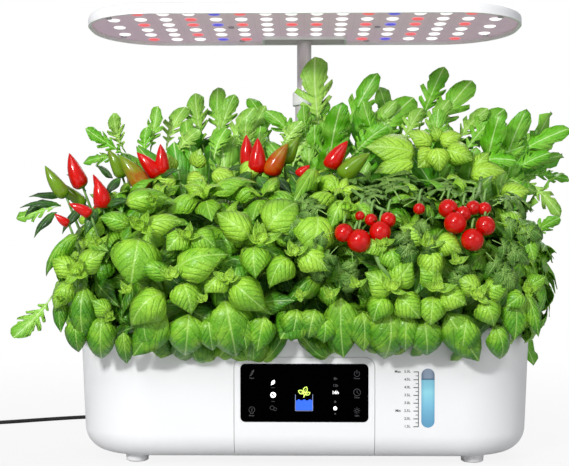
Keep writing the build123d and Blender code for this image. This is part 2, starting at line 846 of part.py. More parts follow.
def make_pump_body():
    """The pump's sealed motor body, with the chamber and the rotor well open to the left."""
    half = pump_depth / 2
    body = block((pump_left, pump_right), (pump_y - half, pump_y + half), (pump_low, pump_low + pump_height))
    body = fillet(body.edges().filter_by(Axis.X), pump_corner)
    chamber_end = pump_left + pump_chamber_depth
    body -= on_pump_axis(pump_chamber_radius, (pump_left - 1, chamber_end))
    well_end = chamber_end + rotor_length + rotor_play
    body -= on_pump_axis(rotor_radius + rotor_gap, (chamber_end - overlap, well_end))
    body -= on_pump_axis(impeller_shaft_radius, (well_end - overlap, well_end + shaft_seat))
    outlet = Pos(pump_left + pump_chamber_depth / 2, pump_y, 0)
    return body - outlet * upright(riser_radius - riser_wall, pump_middle_z, pump_low + pump_height + 1)


def make_pump_cover():
    """The slotted intake cover, with the boss that holds the shaft's free end."""
    half = pump_depth / 2
    cover = block(
        (pump_left - pump_cover_thickness, pump_left),
        (pump_y - half, pump_y + half),
        (pump_low, pump_low + pump_height),
    )
    cover = fillet(cover.edges().filter_by(Axis.X), pump_corner)
    slot = Box(past, pump_slot_width, pump_slot_height)
    for number in range(pump_slots):
        y = pump_y + (number - (pump_slots - 1) / 2) * pump_slot_pitch
        if number != pump_slots // 2:
            cover -= Pos(pump_left, y, pump_middle_z) * slot
    return cover - on_pump_axis(impeller_shaft_radius, (pump_left - shaft_seat, pump_left + 1))


def make_pump_shaft():
    """The fixed ceramic shaft that the impeller turns on."""
    end = pump_left + pump_chamber_depth + rotor_length + rotor_play + shaft_seat
    return on_pump_axis(impeller_shaft_radius, (pump_left - shaft_seat, end))


def make_pump_impeller():
    """The impeller: vanes on a hub, moulded to the magnet rotor."""
    start = pump_left + rotor_play
    rotor_start = pump_left + pump_chamber_depth
    impeller = on_pump_axis(rotor_radius, (start, rotor_start + rotor_length - rotor_play))
    for number in range(vanes // 2):
        vane = Box(vane_length, 2 * vane_radius, vane_thickness)
        turn = Rot(180 / (vanes // 2) * number, 0, 0)
        impeller += Pos(start + vane_length / 2, pump_y, pump_middle_z) * turn * vane
    return impeller - on_pump_axis(impeller_shaft_radius + impeller_running, (start - 1, rotor_start + past))


def make_pump_feet():
    """Rubber suction feet under the pump."""
    foot = Cone(pump_foot_radius, pump_foot_tip_radius, pump_foot_height, align=standing)
    half_x = pump_length / 2 - pump_foot_margin
    half_y = pump_depth / 2 - pump_foot_margin
    corners = [(sx * half_x, sy * half_y) for sx in (-1, 1) for sy in (-1, 1)]
    return [Pos(pump_x + x, pump_y + y, tank_floor) * foot for x, y in corners]


def make_riser():
    """The tube that carries water from the pump to just under the deck."""
    low = pump_low + pump_height
    riser = upright(riser_radius, low, riser_high)
    riser -= upright(riser_radius - riser_wall, low - 1, riser_high + 1)
    return Pos(pump_left + pump_chamber_depth / 2, pump_y, 0) * riser


def arc_radii(points):
    """The largest tangent arc that each corner's two runs allow."""
    vectors = [Vector(*p) for p in points]
    radii = []
    for a, b, c in zip(vectors, vectors[1:], vectors[2:]):
        turn = math.radians((b - a).get_angle(c - b))
        radii.append(0.45 * min((b - a).length, (c - b).length) / math.tan(turn / 2))
    return radii


def make_cord(points, diameter):
    """A round lead along straight runs joined by tangent arcs."""
    radii = arc_radii(points)
    path = FilletPolyline(*points, radius=radii)
    lead = sweep(Plane(path @ 0, z_dir=path % 0) * Circle(diameter / 2), path=path)
    measured = lead.volume / (math.pi * diameter**2 / 4)
    print(f"lead: {path.length:.1f} mm, {measured:.1f} mm by volume, radii {[round(r) for r in radii]}")
    return lead


def make_pump_lead():
    """The pump's lead, from its body over the floor and up to the control bay's side wall."""
    bay_side = -(cover_width / 2 + wall)
    out = pump_right + pump_lead_reach
    end_y = front_y + pump_lead_front
    run = pump_y - end_y
    points = [
        (pump_right, pump_y, pump_middle_z),
        (out, pump_y, pump_middle_z),
        (out + 5.0, pump_y - 0.35 * run, pump_middle_z + 1.0),
        (out + 1.0, pump_y - 0.78 * run, pump_middle_z + 12.0),
        (out - 3.0, end_y, pump_middle_z + 42.0),
        (bay_side - 12.0, end_y, pump_lead_high),
        (bay_side, end_y, pump_lead_high),
    ]
    return make_cord(points, pump_lead_diameter)


def make_float_stem():
    """The low-water float's stem, with its foot and its upper stop."""
    stem = upright(stem_radius, tank_floor, stem_high + stem_stop_thickness)
    stem += upright(stem_foot_radius, tank_floor, tank_floor + stem_stop_thickness)
    stem += upright(stem_stop_radius, stem_high, stem_high + stem_stop_thickness)
    return Pos(float_x, float_y, 0) * stem


def make_level_float():
    """The ring-shaped float, just under its upper stop."""
    high = stem_high - float_running
    ring = upright(float_radius, high - float_height, high)
    return Pos(float_x, float_y, 0) * (ring - upright(stem_radius + float_running, high - past, high + 1))


# ---- Power inlet, lead and adapter -----------------------------------------------------------------------

inlet_face = back_y - (rim_height - inlet_z) * slope
plug_end = inlet_face + inlet_flange_thickness + plug_grip_length


def make_power_inlet():
    """The low-voltage inlet in the back wall."""
    inlet = along_y(inlet_body_radius, (inlet_face - inlet_body_length, inlet_face), 0, inlet_z)
    inlet += along_y(inlet_flange_radius, (inlet_face, inlet_face + inlet_flange_thickness), 0, inlet_z)
    bore = (inlet_face + inlet_flange_thickness - plug_barrel_length - overlap, inlet_face + past)
    return inlet - along_y(plug_barrel_radius + plug_barrel_gap, bore, 0, inlet_z)


def make_power_plug():
    """The lead's plug: barrel, grip and tapered strain relief."""
    grip_start = inlet_face + inlet_flange_thickness
    plug = along_y(plug_grip_radius, (grip_start, plug_end), 0, inlet_z)
    plug = chamfer(plug.edges().filter_by(GeomType.CIRCLE), plug_grip_edge)
    plug += along_y(plug_barrel_radius, (grip_start - plug_barrel_length, grip_start + 1), 0, inlet_z)
    relief = Cone(plug_grip_radius - plug_grip_edge, relief_tip_radius, relief_length, align=standing)
    return plug + Pos(0, plug_end - relief_sunk, inlet_z) * Rot(-90, 0, 0) * relief


# The lead's route from the strain relief, down on to the table and over it to the coil.
lead_lie = cord_diameter / 2 + 0.05
relief_end = plug_end - relief_sunk + relief_length
lead_points = [
    (0.0, relief_end, inlet_z),
    (0.0, relief_end + 12.0, inlet_z),
    (-5.0, relief_end + 27.0, 24.0),
    (-20.0, relief_end + 41.0, 16.0),
    (-44.0, relief_end + 51.0, 7.5),
    (-76.0, relief_end + 58.5, 2.9),
    (-116.0, relief_end + 64.0, lead_lie),
    (-160.0, relief_end + 68.5, lead_lie),
    (-203.0, relief_end + 69.0, lead_lie),
    (-240.0, relief_end + 63.0, lead_lie),
    (-276.0, relief_end + 45.5, lead_lie),
    (-312.0, relief_end + 24.5, lead_lie),
    (-346.0, relief_end + 7.5, lead_lie + 0.2),
    (-377.0, relief_end - 9.5, lead_lie + 1.0),
]
outer_turn = coil_radius + cord_diameter * (coil_turns_wide - 1) / 2
coil_outer = outer_turn + cord_diameter / 2
coil_inner = coil_radius - cord_diameter * coil_turns_wide / 2
adapter_x = coil_x - outer_turn
adapter_back = coil_y - adapter_front_gap - adapter_relief_length
adapter_cord_z = tie_thickness + coil_height - cord_diameter / 2  # level with the coil's top turn


def coil_section(growth):
    """The coil's section beside its axis, standing on the tie."""
    low = tie_thickness - growth
    height = coil_height + 2 * growth
    width = coil_outer - coil_inner + 2 * growth
    place = Pos((coil_outer + coil_inner) / 2, low + height / 2)
    return Plane.XZ * place * Rectangle(width, height)


def make_cord_coil():
    """The lead's coiled length, as one ring."""
    return Pos(coil_x, coil_y, 0) * revolve(coil_section(0), Axis.Z)


def make_cord_tie():
    """The strap round the coil's turns."""
    loop = coil_section(tie_thickness) - coil_section(0)
    strap = extrude(loop, amount=tie_width / 2, both=True) & Pos(coil_radius, 0, 0) * Box(
        4 * coil_radius, tie_width, 4 * coil_height
    )
    ring = Pos(coil_x, coil_y, 0) * Rot(0, 0, tie_turn) * strap
    return ring - make_cord_coil()


def make_power_cord():
    """The lead's stretches from the plug to the coil and from the coil to the adapter."""
    tail_y = (coil_y - adapter_front_gap, coil_y - coil_inner / 2)
    tail = along_y(cord_diameter / 2, tail_y, adapter_x, adapter_cord_z)
    return [make_cord(lead_points, cord_diameter), tail]


def make_adapter_relief():
    """The tapered strain relief on the adapter."""
    cone = Cone(adapter_relief_radius, relief_tip_radius, adapter_relief_length, align=standing)
    return Pos(adapter_x, adapter_back, adapter_cord_z) * Rot(-90, 0, 0) * cone


def make_mains_adapter():
    """The adapter's case, lying on its side behind its two blades."""
    half = adapter_width / 2
    front = adapter_back - adapter_length
    case = block((adapter_x - half, adapter_x + half), (front, adapter_back), (0, adapter_height))
    case = fillet(case.edges().filter_by(Axis.Y), adapter_corner)
    return chamfer(case.faces().sort_by(Axis.Y)[-1].edges(), adapter_edge)


def make_adapter_blades():
    """The adapter's two contact blades."""
    front = adapter_back - adapter_length
    blade = Box(blade_thickness, blade_length, blade_width)
    middle = Pos(adapter_x, front - blade_length / 2, adapter_height / 2)
    return [middle * Pos(side * blade_spacing / 2, 0, 0) * blade for side in (-1, 1)]


# ---- Planting --------------------------------------------------------------------------------------------


def foliage_section(scale, low, high):
    """A section across a row's leaves: flat at the garden's middle, and swollen outwards."""
    middle = (low + high) / 2
    half = scale * (high - low) / 2
    reach = scale * foliage_reach_y
    points = [(0, middle + half), (0, middle - half)]
    for number in range(foliage_facets + 1):
        turn = math.radians(180 * number / foliage_facets - 90)
        out = abs(math.cos(turn)) ** (2 / foliage_swell)
        rise = math.copysign(abs(math.sin(turn)) ** (2 / foliage_swell), turn)
        points.append((reach * (foliage_flat + (1 - foliage_flat) * out), middle + half * rise))
    return Polygon(*points, align=None)


def foliage_row(low, high, reach_x):
    """A whole row's mass of leaves behind the garden's middle, as if one kind filled it."""
    stations = [(-share, scale) for share, scale in reversed(foliage_ends)]
    stations += [(-foliage_full, 1.0), (foliage_full, 1.0), *foliage_ends]
    sections = []
    for share, scale in stations:
        section = Plane.YZ.offset(share * reach_x) * foliage_section(scale, low, high)
        sections.append(section.face())
    return loft(sections, ruled=True)


def crown_room(column, row):
    """The room that one pod's crown may fill between its neighbours."""
    near_x = pods[column][0]
    half = pod_pitch_x / 2 - foliage_gap / 2
    far = back_reach_x + past
    x = [near_x - half, near_x + half]
    if column == 0:
        x[0] = -far
    if column == pod_columns - 1:
        x[1] = far
    y = (foliage_gap / 2, far) if row else (-far, -foliage_gap / 2)
    return block(x, y, (0, lamp_low))


def kept_clear():
    """What no foliage may reach into: the housing, the mast, and the lid's sweep."""
    over = deck_top + foliage_clear
    growth = -foliage_clear
    length = housing_length - 2 * growth
    depth = housing_depth - 2 * growth
    base = extrude(RectangleRounded(length, depth, corner_radius - growth), amount=over)
    mast = Pos(0, mast_y, 0) * upright(mast_clear, 0, lamp_low)
    half = lid_length / 2 + lid_clear
    reach = hinge_y - lid_front + lid_clear
    lid_room = block(
        (port_x - half, port_x + half), (lid_front - lid_clear, hinge_y + reach), (0, hinge_z + reach)
    )
    return base, mast, lid_room


def frond(x, y, tip, width, spare=0.0):
    """One tall leaf of a pod at x, y: a flat, tapered blade from the mass of leaves to its tip."""
    root = Vector(x + (tip.X - x) * frond_root_share, y + (tip.Y - y) * frond_root_share, frond_root)
    along = tip - root
    across = along.cross(Vector(0, 1, 0)).normalized()
    one_edge = [(half * width + spare, share * along.length) for half, share in frond_outline]
    other_edge = [(-half, reach) for half, reach in reversed(one_edge)]
    plane = Plane(root, x_dir=across, z_dir=across.cross(along.normalized()))
    blade = plane * Polygon(*one_edge, *other_edge, align=None)
    return extrude(blade, amount=frond_thickness / 2 + spare, both=True)


def fronds_of(column, spare=0.0):
    """The tall leaves of the arugula in a column, or the room that they need."""
    if column not in arugula_fronds:
        return []
    x, y = pods[pod_columns + column]
    return [frond(x, y, Vector(*tip), width, spare) for *tip, width in arugula_fronds[column]]


def make_plants():
    """Every plant: its stem on the sponge, the mass of its leaves, and the arugula's tall leaves."""
    heights = {
        "basil": (basil_low, basil_high),
        "pepper": (pepper_low, pepper_high),
        "tomato": (tomato_low, tomato_high),
        "arugula": (arugula_low, arugula_high),
    }
    masses = {kind: foliage_row(low, high, back_reach_x) for kind, (low, high) in heights.items()}
    masses["basil"] = Rot(0, 0, 180) * foliage_row(basil_low, basil_high, front_reach_x)
    plants = {}
    for row, kinds in enumerate(planting):
        for column, kind in enumerate(kinds):
            x, y = pods[row * pod_columns + column]
            leaves = masses[kind] & crown_room(column, row)
            if row > 0:
                for blade in fronds_of(column - 1, foliage_gap) + fronds_of(column + 1, foliage_gap):
                    leaves -= blade
                for blade in fronds_of(column):
                    leaves += blade
            for piece in kept_clear():
                leaves -= piece
            stem = upright(plant_stem_radius, deck_face, sum(heights[kind]) / 2)
            name = f"{kind}_plant_{row * pod_columns + column + 1:02d}"
            plants[name] = leaves + Pos(x, y, 0) * stem
    return plants


def main():
    os.makedirs("parts", exist_ok=True)
    pieces = {
        "housing": make_housing(),
        "foot_pads": make_foot_pads(),
        "base_cover": make_base_cover(),
        "base_screws": make_base_screws(),
        "control_cover": make_control_cover(),
        "display_lens": make_display_lens(),
        "display_module": make_display_module(),
        "control_board": make_control_board(),
        "control_board_screws": make_board_screws(),
        "level_window": make_level_window(),
        "grow_deck": make_grow_deck(),
        "fill_lid": make_fill_lid(),
        "fill_lid_pin": make_fill_lid_pin(),
        "net_cups": make_net_cups(),
        "grow_sponges": make_grow_sponges(),
        "mast_socket": make_mast_socket(),
        "lower_mast": make_lower_mast(),
        "mast_collar": make_mast_collar(),
        "upper_mast": make_upper_mast(),
        "mast_bush": make_mast_bush(),
        "mast_bracket": make_mast_bracket(),
        "lamp_shell": make_lamp_shell(),
        "led_board": make_led_board(),
        "leds_white": make_leds("W"),
        "leds_red": make_leds("R"),
        "leds_blue": make_leds("B"),
        "lamp_screws": make_lamp_screws(),
        "pump_body": make_pump_body(),
        "pump_cover": make_pump_cover(),
        "pump_shaft": make_pump_shaft(),
        "pump_impeller": make_pump_impeller(),
        "pump_feet": make_pump_feet(),
        "riser_tube": make_riser(),
        "pump_lead": make_pump_lead(),
        "float_stem": make_float_stem(),
        "level_float": make_level_float(),
        "power_inlet": make_power_inlet(),
        "power_plug": make_power_plug(),
        "power_cord": make_power_cord(),
        "cord_coil": make_cord_coil(),
        "cord_tie": make_cord_tie(),
        "adapter_relief": make_adapter_relief(),
        "mains_adapter": make_mains_adapter(),
        "adapter_blades": make_adapter_blades(),
    }
    pieces.update(make_plants())
    for name, made in pieces.items():
        solids = made if isinstance(made, list) else [made]
        export_step(Compound(children=solids), f"parts/{name}.step")


main()
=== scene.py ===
import json
import math
import random

import bmesh
import bpy
import numpy as np
from mathutils import Matrix, Vector

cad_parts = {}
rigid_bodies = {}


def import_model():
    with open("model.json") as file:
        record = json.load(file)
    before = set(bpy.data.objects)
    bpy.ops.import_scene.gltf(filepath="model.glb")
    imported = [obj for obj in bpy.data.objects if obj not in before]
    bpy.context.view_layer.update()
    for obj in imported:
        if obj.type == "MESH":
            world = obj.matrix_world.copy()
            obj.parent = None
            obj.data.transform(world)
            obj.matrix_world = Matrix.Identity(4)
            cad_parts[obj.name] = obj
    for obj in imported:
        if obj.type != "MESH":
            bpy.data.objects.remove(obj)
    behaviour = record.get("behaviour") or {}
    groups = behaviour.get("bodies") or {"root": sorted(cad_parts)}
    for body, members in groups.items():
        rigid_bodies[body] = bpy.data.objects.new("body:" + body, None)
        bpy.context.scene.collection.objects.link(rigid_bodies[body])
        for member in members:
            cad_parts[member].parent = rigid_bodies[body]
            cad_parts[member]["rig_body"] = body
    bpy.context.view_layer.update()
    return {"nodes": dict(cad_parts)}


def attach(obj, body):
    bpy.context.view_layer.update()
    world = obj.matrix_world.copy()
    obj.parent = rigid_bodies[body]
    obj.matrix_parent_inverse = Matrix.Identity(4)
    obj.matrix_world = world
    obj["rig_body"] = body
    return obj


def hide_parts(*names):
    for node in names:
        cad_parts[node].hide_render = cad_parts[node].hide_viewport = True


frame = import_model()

bl_info = {
    "name": "Countertop hydroponic garden",
    "version": (1, 0, 0),
    "blender": (4, 5, 0),
    "location": "View3D > Sidebar > Garden",
    "description": "Dresses a countertop garden: tank, display, grow lamp, lead and planting",
    "category": "Object",
}

# ---- The view ----

VIEW_SIZE = (569, 466)
EYE = Vector((0.0, -1.05, 0.177))
FOCAL_PX = 1121.0
CENTRE_PX = 304.3  # where the plane x = 0 stands in the view
HORIZON_PX = 259.0


def in_view(px, py, depth):
    """The point at y = depth that the camera sees at px, py."""
    run = depth - EYE.y
    return Vector(((px - CENTRE_PX) / FOCAL_PX * run, depth, EYE.z - (py - HORIZON_PX) / FOCAL_PX * run))


def across(pixels, depth):
    """How long a stretch of the view is at y = depth, in metres."""
    return pixels / FOCAL_PX * (depth - EYE.y)


# ---- Sizes that the frame and the dressing share, in metres ----

RIM_HEIGHT = 0.112
DRAFT = math.radians(2.8)
FRONT_Y = -0.098
WINDOW_X = 0.1047
WINDOW_HALF = 0.0057
WATER_LOW, WATER_LINE = 0.0335, 0.0752
MAST_Y = 0.061
LED_FACE = 0.3954
LED_WIDTH = 0.0115
POD_PITCH = 0.06
POD_X = [(column - 2.5) * POD_PITCH for column in range(6)]
POD_Y = (-0.035, 0.035)
FOREMOST = -0.153  # how far forward leaves reach


def on_front(x, z, lift=0.0):
    """A point on the housing's leaning front face, lifted off it."""
    y = FRONT_Y + (RIM_HEIGHT - z) * math.tan(DRAFT)
    return Vector((x, y - lift * math.cos(DRAFT), z - lift * math.sin(DRAFT)))


# ---- Node trees as expressions ----


class Signal:
    """A node's socket that takes part in arithmetic."""

    def __init__(self, nodes, socket):
        self.nodes = nodes
        self.socket = socket

    def maths(self, operation, *values):
        return self.nodes.node("ShaderNodeMath", {"operation": operation}, values)

    def __abs__(self):
        return self.maths("ABSOLUTE", self)

    def sine(self):
        return self.maths("SINE", self)

    def fraction(self):
        return self.maths("FRACT", self)

    def step(self, low, high, to_low=0.0, to_high=1.0):
        """Runs smoothly from to_low to to_high as the value goes from low to high."""
        values = [self, low, high, to_low, to_high]
        return self.nodes.node("ShaderNodeMapRange", {"interpolation_type": "SMOOTHSTEP"}, values)


OPERATORS = {"add": "ADD", "sub": "SUBTRACT", "mul": "MULTIPLY", "truediv": "DIVIDE", "pow": "POWER"}
for word, operation in OPERATORS.items():
    setattr(Signal, f"__{word}__", lambda a, b, operation=operation: a.maths(operation, a, b))
    setattr(Signal, f"__r{word}__", lambda a, b, operation=operation: a.maths(operation, b, a))


class Nodes:
    """A node tree whose sockets are filled by values or signals."""

    def __init__(self, tree):
        self.tree = tree

    def join(self, socket, value):
        if isinstance(value, Signal):
            self.tree.links.new(value.socket, socket)
        elif isinstance(value, tuple) and len(value) == 3 and socket.type == "RGBA":
            socket.default_value = (*value, 1.0)
        else:
            socket.default_value = value

    def node(self, kind, settings=None, values=(), output=0):
        """Adds a node: its settings first, then the values or links of its sockets."""
        made = self.tree.nodes.new(kind)
        for key, value in (settings or {}).items():
            setattr(made, key, value)
        for key, value in values.items() if isinstance(values, dict) else enumerate(values):
            self.join(made.inputs[key], value)
        return Signal(self, made.outputs[output])


class Finish(Nodes):
    """A material whose sockets are filled by expressions."""

    def __init__(self, name, colour=(0.8, 0.8, 0.8), **constants):
        self.material = bpy.data.materials.new(name)
        self.material.use_nodes = True
        super().__init__(self.material.node_tree)
        self.shader = self.tree.nodes["Principled BSDF"]
        self.set("Base Color", colour)
        for key, value in constants.items():
            self.set(key.replace("_", " ").title().replace("Ior", "IOR"), value)

    def set(self, socket, value):
        self.join(self.shader.inputs[socket], value)

    def place(self):
        return self.node("ShaderNodeTexCoord", output="Object")

    def uv(self):
        return self.parts(self.node("ShaderNodeUVMap", {"uv_map": "UVMap"}))

    def parts(self, vector):
        node = self.node("ShaderNodeSeparateXYZ", values=[vector]).socket.node
        return [Signal(self, socket) for socket in node.outputs]

    def shade(self):
        return self.node("ShaderNodeAttribute", {"attribute_name": "shade"}, output="Fac")

    def noise(self, scale, detail=2.0, stretch=None):
        where = self.place()
        if stretch:
            where = self.node("ShaderNodeMapping", values={"Vector": where, "Scale": stretch})
        return self.node("ShaderNodeTexNoise", values={"Vector": where, "Scale": scale, "Detail": detail})

    def cells(self, scale, **settings):
        return self.node("ShaderNodeTexVoronoi", settings, {"Vector": self.place(), "Scale": scale})

    def ramp(self, factor, stops):
        """Colours along a factor, from (position, colour) pairs."""
        made = self.node("ShaderNodeValToRGB", values=[factor])
        elements = made.socket.node.color_ramp.elements
        while len(elements) < len(stops):
            elements.new(0.5)
        for element, (position, colour) in zip(elements, stops):
            element.position = position
            element.color = (*colour, 1.0)
        return made

    def blend(self, factor, a, b):
        """A colour from a to b; the sockets of a colour mix are 0, 6 and 7, and its result is 2."""
        return self.node("ShaderNodeMix", {"data_type": "RGBA"}, {0: factor, 6: a, 7: b}, 2)

    def relief(self, height, distance=0.001, strength=1.0):
        values = {"Height": height, "Distance": distance, "Strength": strength}
        self.set("Normal", self.node("ShaderNodeBump", values=values))


def tint(code):
    """A linear colour from a hexadecimal sRGB one."""
    parts = [int(code[i : i + 2], 16) / 255 for i in (1, 3, 5)]
    return tuple(p / 12.92 if p <= 0.04045 else ((p + 0.055) / 1.055) ** 2.4 for p in parts)


# ---- Materials ----


def moulded(name, code, roughness, grain=0.00006, scale=900.0):
    """Moulded plastic or rubber: a fine grain, and a slightly uneven gloss."""
    finish = Finish(name, tint(code))
    fine = finish.noise(scale, 3.0)
    finish.set("Roughness", finish.noise(28.0) * 0.10 + (roughness - 0.05))
    finish.relief(fine, grain)
    return finish.material


def white_gloss():
    """The housing's glossy white moulding, with faint draw marks and a clear gloss."""
    finish = Finish("white_gloss", specular_ior_level=0.35, coat_weight=0.08, coat_roughness=0.3)
    broad = finish.noise(9.0, 1.0)
    finish.set("Base Color", finish.blend(broad, tint("#f1f1f2"), tint("#f4f4f5")))
    finish.set("Roughness", broad * 0.08 + 0.34)
    finish.relief(finish.noise(420.0), 0.00002, 0.5)
    return finish.material


def lens_black():
    """The display lens: deep black with a fine touch grid under it."""
    finish = Finish("lens_black", coat_weight=0.0, specular_ior_level=0.01)
    x, _, z = finish.parts(finish.place())
    grid = ((x * 1800.0).sine() * (z * 1800.0).sine()).step(0.75, 1.0)
    finish.set("Base Color", finish.blend(grid, (0.0, 0.0, 0.0001), (0.0008, 0.0008, 0.001)))
    finish.set("Roughness", finish.noise(60.0) * 0.05 + 0.12)
    return finish.material


def brushed(name, low, high, roughness, along=(1, 1, 0.02), scale=900.0, metallic=1.0):
    """Metal with fine streaks along a direction, or with an even grain where along is None."""
    finish = Finish(name, metallic=metallic)
    streaks = finish.noise(scale, stretch=along)
    finish.set("Base Color", finish.blend(streaks, tint(low), tint(high)))
    finish.set("Roughness", streaks * 0.12 + (roughness - 0.06))
    finish.relief(streaks, 0.00002)
    return finish.material


def circuit(name, ground, track):
    """A circuit board: fine tracks under a satin mask."""
    finish = Finish(name, coat_weight=0.5, coat_roughness=0.15)
    line = finish.cells(160.0, distance="MANHATTAN", feature="DISTANCE_TO_EDGE").step(0.02, 0.05, 1.0, 0.0)
    finish.set("Base Color", finish.blend(line * 0.5, tint(ground), tint(track)))
    finish.set("Roughness", line * 0.1 + 0.35)
    finish.relief(line, 0.00003)
    return finish.material


def sponge_foam():
    """The grow sponges' open dark foam, with painted shade in its pores."""
    finish = Finish("sponge_foam", roughness=0.95)
    pores = finish.cells(700.0)
    # Painted shade: the pores are darker than the foam between them.
    finish.set("Base Color", finish.blend(pores.step(0.1, 0.6), tint("#3a3128"), tint("#75654f")))
    finish.relief(pores, 0.0006)
    return finish.material


def clear_plastic(name, code, alpha):
    """Clear moulded plastic, thin enough to read as a tinted gloss."""
    finish = Finish(name, tint(code), coat_weight=0.6, coat_roughness=0.05)
    finish.set("Roughness", finish.noise(80.0) * 0.06 + 0.08)
    finish.set("Alpha", alpha)
    return finish.material


def level_window():
    """The clear window with the tank's water behind it: grey above the water line, as painted shade of the
    tank's inside, and blue below, paler towards the line as painted light from above and darker towards the
    window's sides as painted shade.
    """
    finish = Finish("level_window", coat_weight=1.0, coat_roughness=0.04)
    x, _, z = finish.parts(finish.place())
    swirl = finish.noise(260.0, 1.0) * 0.0012
    height = z + swirl
    side = abs(x - WINDOW_X) / WINDOW_HALF
    # Painted light: the water pales towards its line, where more light falls from above.
    depths = ((0.0, "#5f9fc4"), (0.45, "#7cc3e0"), (0.85, "#93dcec"), (1.0, "#7fc4dc"))
    water = finish.ramp(
        height.step(WATER_LOW, WATER_LINE + 0.0003), [(position, tint(code)) for position, code in depths]
    )
    # Painted shade: darker towards the window's sides.
    water = finish.blend(side.step(0.45, 1.0) * 0.35, water, tint("#4f8fb8"))
    # Painted shade: the grey of the tank's inside above the water, darker towards the sides.
    air = finish.blend(side.step(0.3, 1.0), tint("#8797ad"), tint("#66788f"))
    surface = abs(z - WATER_LINE).step(0.0003, 0.0009, 1.0, 0.0)
    colour = finish.blend(z.step(WATER_LINE - 0.0002, WATER_LINE + 0.0004), water, air)
    finish.set("Base Color", finish.blend(surface * 0.8, colour, tint("#2d5577")))
    finish.set("Roughness", swirl * 40.0 + 0.1)
    return finish.material


def led_panel():
    """The LED board's flat grey face, tinted pink and faintly glowing as painted light of its LEDs, darker
    towards its ends as painted shade, and with darker gaps between its copper fields.
    """
    gap_pitch = 0.02294
    finish = Finish("led_panel", coat_weight=0.15, coat_roughness=0.3, specular_ior_level=0.3)
    # Painted light: the LEDs' pink glow on the board's face, which is no lamp.
    finish.set("Emission Color", (1.0, 0.62, 0.88))
    finish.set("Emission Strength", 0.24)
    x, _, _ = finish.parts(finish.place())
    from_gap = abs((x / gap_pitch).fraction() - 0.5)
    mottle = finish.noise(55.0, 3.0)
    # Painted shade: the face darkens towards its ends; its pinkish grey is painted light of the LEDs.
    base = finish.blend(abs(x).step(0.08, 0.19), tint("#c6bfbf"), tint("#aaa4a3"))
    base = finish.blend(mottle.step(0.3, 0.7) * 0.2, base, tint("#d0cac9"))
    finish.set("Base Color", finish.blend(from_gap.step(0.465, 0.495) * 0.15, base, tint("#8d8887")))
    finish.set("Roughness", mottle * 0.1 + 0.4)
    return finish.material


def led_lens(name, core, rim, strength):
    """An LED: a bright die under a lens that pales towards its rim."""
    finish = Finish(name, tint(rim), roughness=0.3, coat_weight=0.3)
    _, v, _ = finish.uv()
    lit = finish.blend(v.step(0.35, 0.95), tint(core), tint(rim))
    finish.set("Base Color", lit)
    finish.set("Emission Color", lit)
    finish.set("Emission Strength", strength)
    return finish.material


def glowing(name, code, strength):
    """Lit ink on the display: slightly uneven, as a backlight is; the unlit symbols' faint glow from it is
    painted light.
    """
    colour = tint(code)
    finish = Finish(name, colour, roughness=0.5)
    dim = tuple(0.75 * part for part in colour)
    finish.set("Emission Color", finish.blend(finish.noise(500.0, 1.0), dim, colour))
    finish.set("Emission Strength", strength)
    return finish.material


def printed(name, code):
    """Printed ink, thin in places."""
    finish = Finish(name, tint(code))
    finish.set("Roughness", finish.noise(900.0) * 0.2 + 0.4)
    finish.set("Alpha", finish.noise(2500.0, 1.0).step(0.1, 0.3, 0.9, 1.0))
    return finish.material


def lead_black():
    """The lead's thin black jacket, faintly ribbed by the cores inside it."""
    finish = Finish("lead_black", tint("#141414"), coat_weight=0.1)
    broad = finish.noise(160.0)
    finish.set("Base Color", finish.blend(broad, tint("#0e0e0f"), tint("#1d1d1e")))
    finish.set("Roughness", broad * 0.14 + 0.38)
    finish.relief(finish.noise(1500.0), 0.00003)
    return finish.material


# ---- Making and placing pieces ----

SHARP_DEGREES = 32.0  # edges of mouldings sharper than this stay crisp
MERGE = 4e-6


def linked(name, data):
    """A new object in the scene."""
    made = bpy.data.objects.new(name, data)
    bpy.context.scene.collection.objects.link(made)
    return made


def baked(holder):
    """The evaluated mesh of an object, which is removed."""
    graph = bpy.context.evaluated_depsgraph_get()
    mesh = bpy.data.meshes.new_from_object(holder.evaluated_get(graph), depsgraph=graph)
    bpy.data.objects.remove(holder)
    return mesh


def piece(name, mesh, body, nodes=(), materials=()):
    """Links a finished mesh as a piece of a body, which may stand for CAD nodes."""
    made = linked(name, mesh)
    for material in materials:
        made.data.materials.append(material)
    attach(made, body)
    if nodes:
        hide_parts(*nodes)
    return made


def smooth_mesh(mesh, angle):
    """Shades a mesh smooth, apart from edges sharper than an angle in degrees."""
    shape = bmesh.new()
    shape.from_mesh(mesh)
    bmesh.ops.remove_doubles(shape, verts=shape.verts, dist=MERGE)
    for face in shape.faces:
        face.smooth = True
    limit = math.radians(angle)
    for edge in shape.edges:
        edge.smooth = len(edge.link_faces) == 2 and edge.calc_face_angle(math.pi) < limit
    shape.to_mesh(mesh)
    shape.free()


def refined(node, material):
    """A smooth-shaded copy of a CAD node, which stands for it."""
    source = frame["nodes"][node]
    mesh = source.data.copy()
    mesh.materials.clear()
    smooth_mesh(mesh, SHARP_DEGREES)
    made = piece("smooth_" + node, mesh, source["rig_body"], [node], [material])
    even = made.modifiers.new("even_normals", "WEIGHTED_NORMAL")
    even.keep_sharp = True
    even.weight = 100


def dress(node, material):
    """Gives a CAD node that keeps its shape a better material."""
    mesh = frame["nodes"][node].data
    mesh.materials.clear()
    mesh.materials.append(material)


def mesh_of(name, points, faces, uvs=None):
    """A mesh from points and faces; uvs are one pair for each point."""
    mesh = bpy.data.meshes.new(name)
    mesh.from_pydata([tuple(p) for p in points], [], faces)
    if uvs is not None:
        layer = mesh.uv_layers.new(name="UVMap")
        for loop in mesh.loops:
            layer.data[loop.index].uv = uvs[loop.vertex_index]
    for polygon in mesh.polygons:
        polygon.use_smooth = True
    mesh.update()
    return mesh


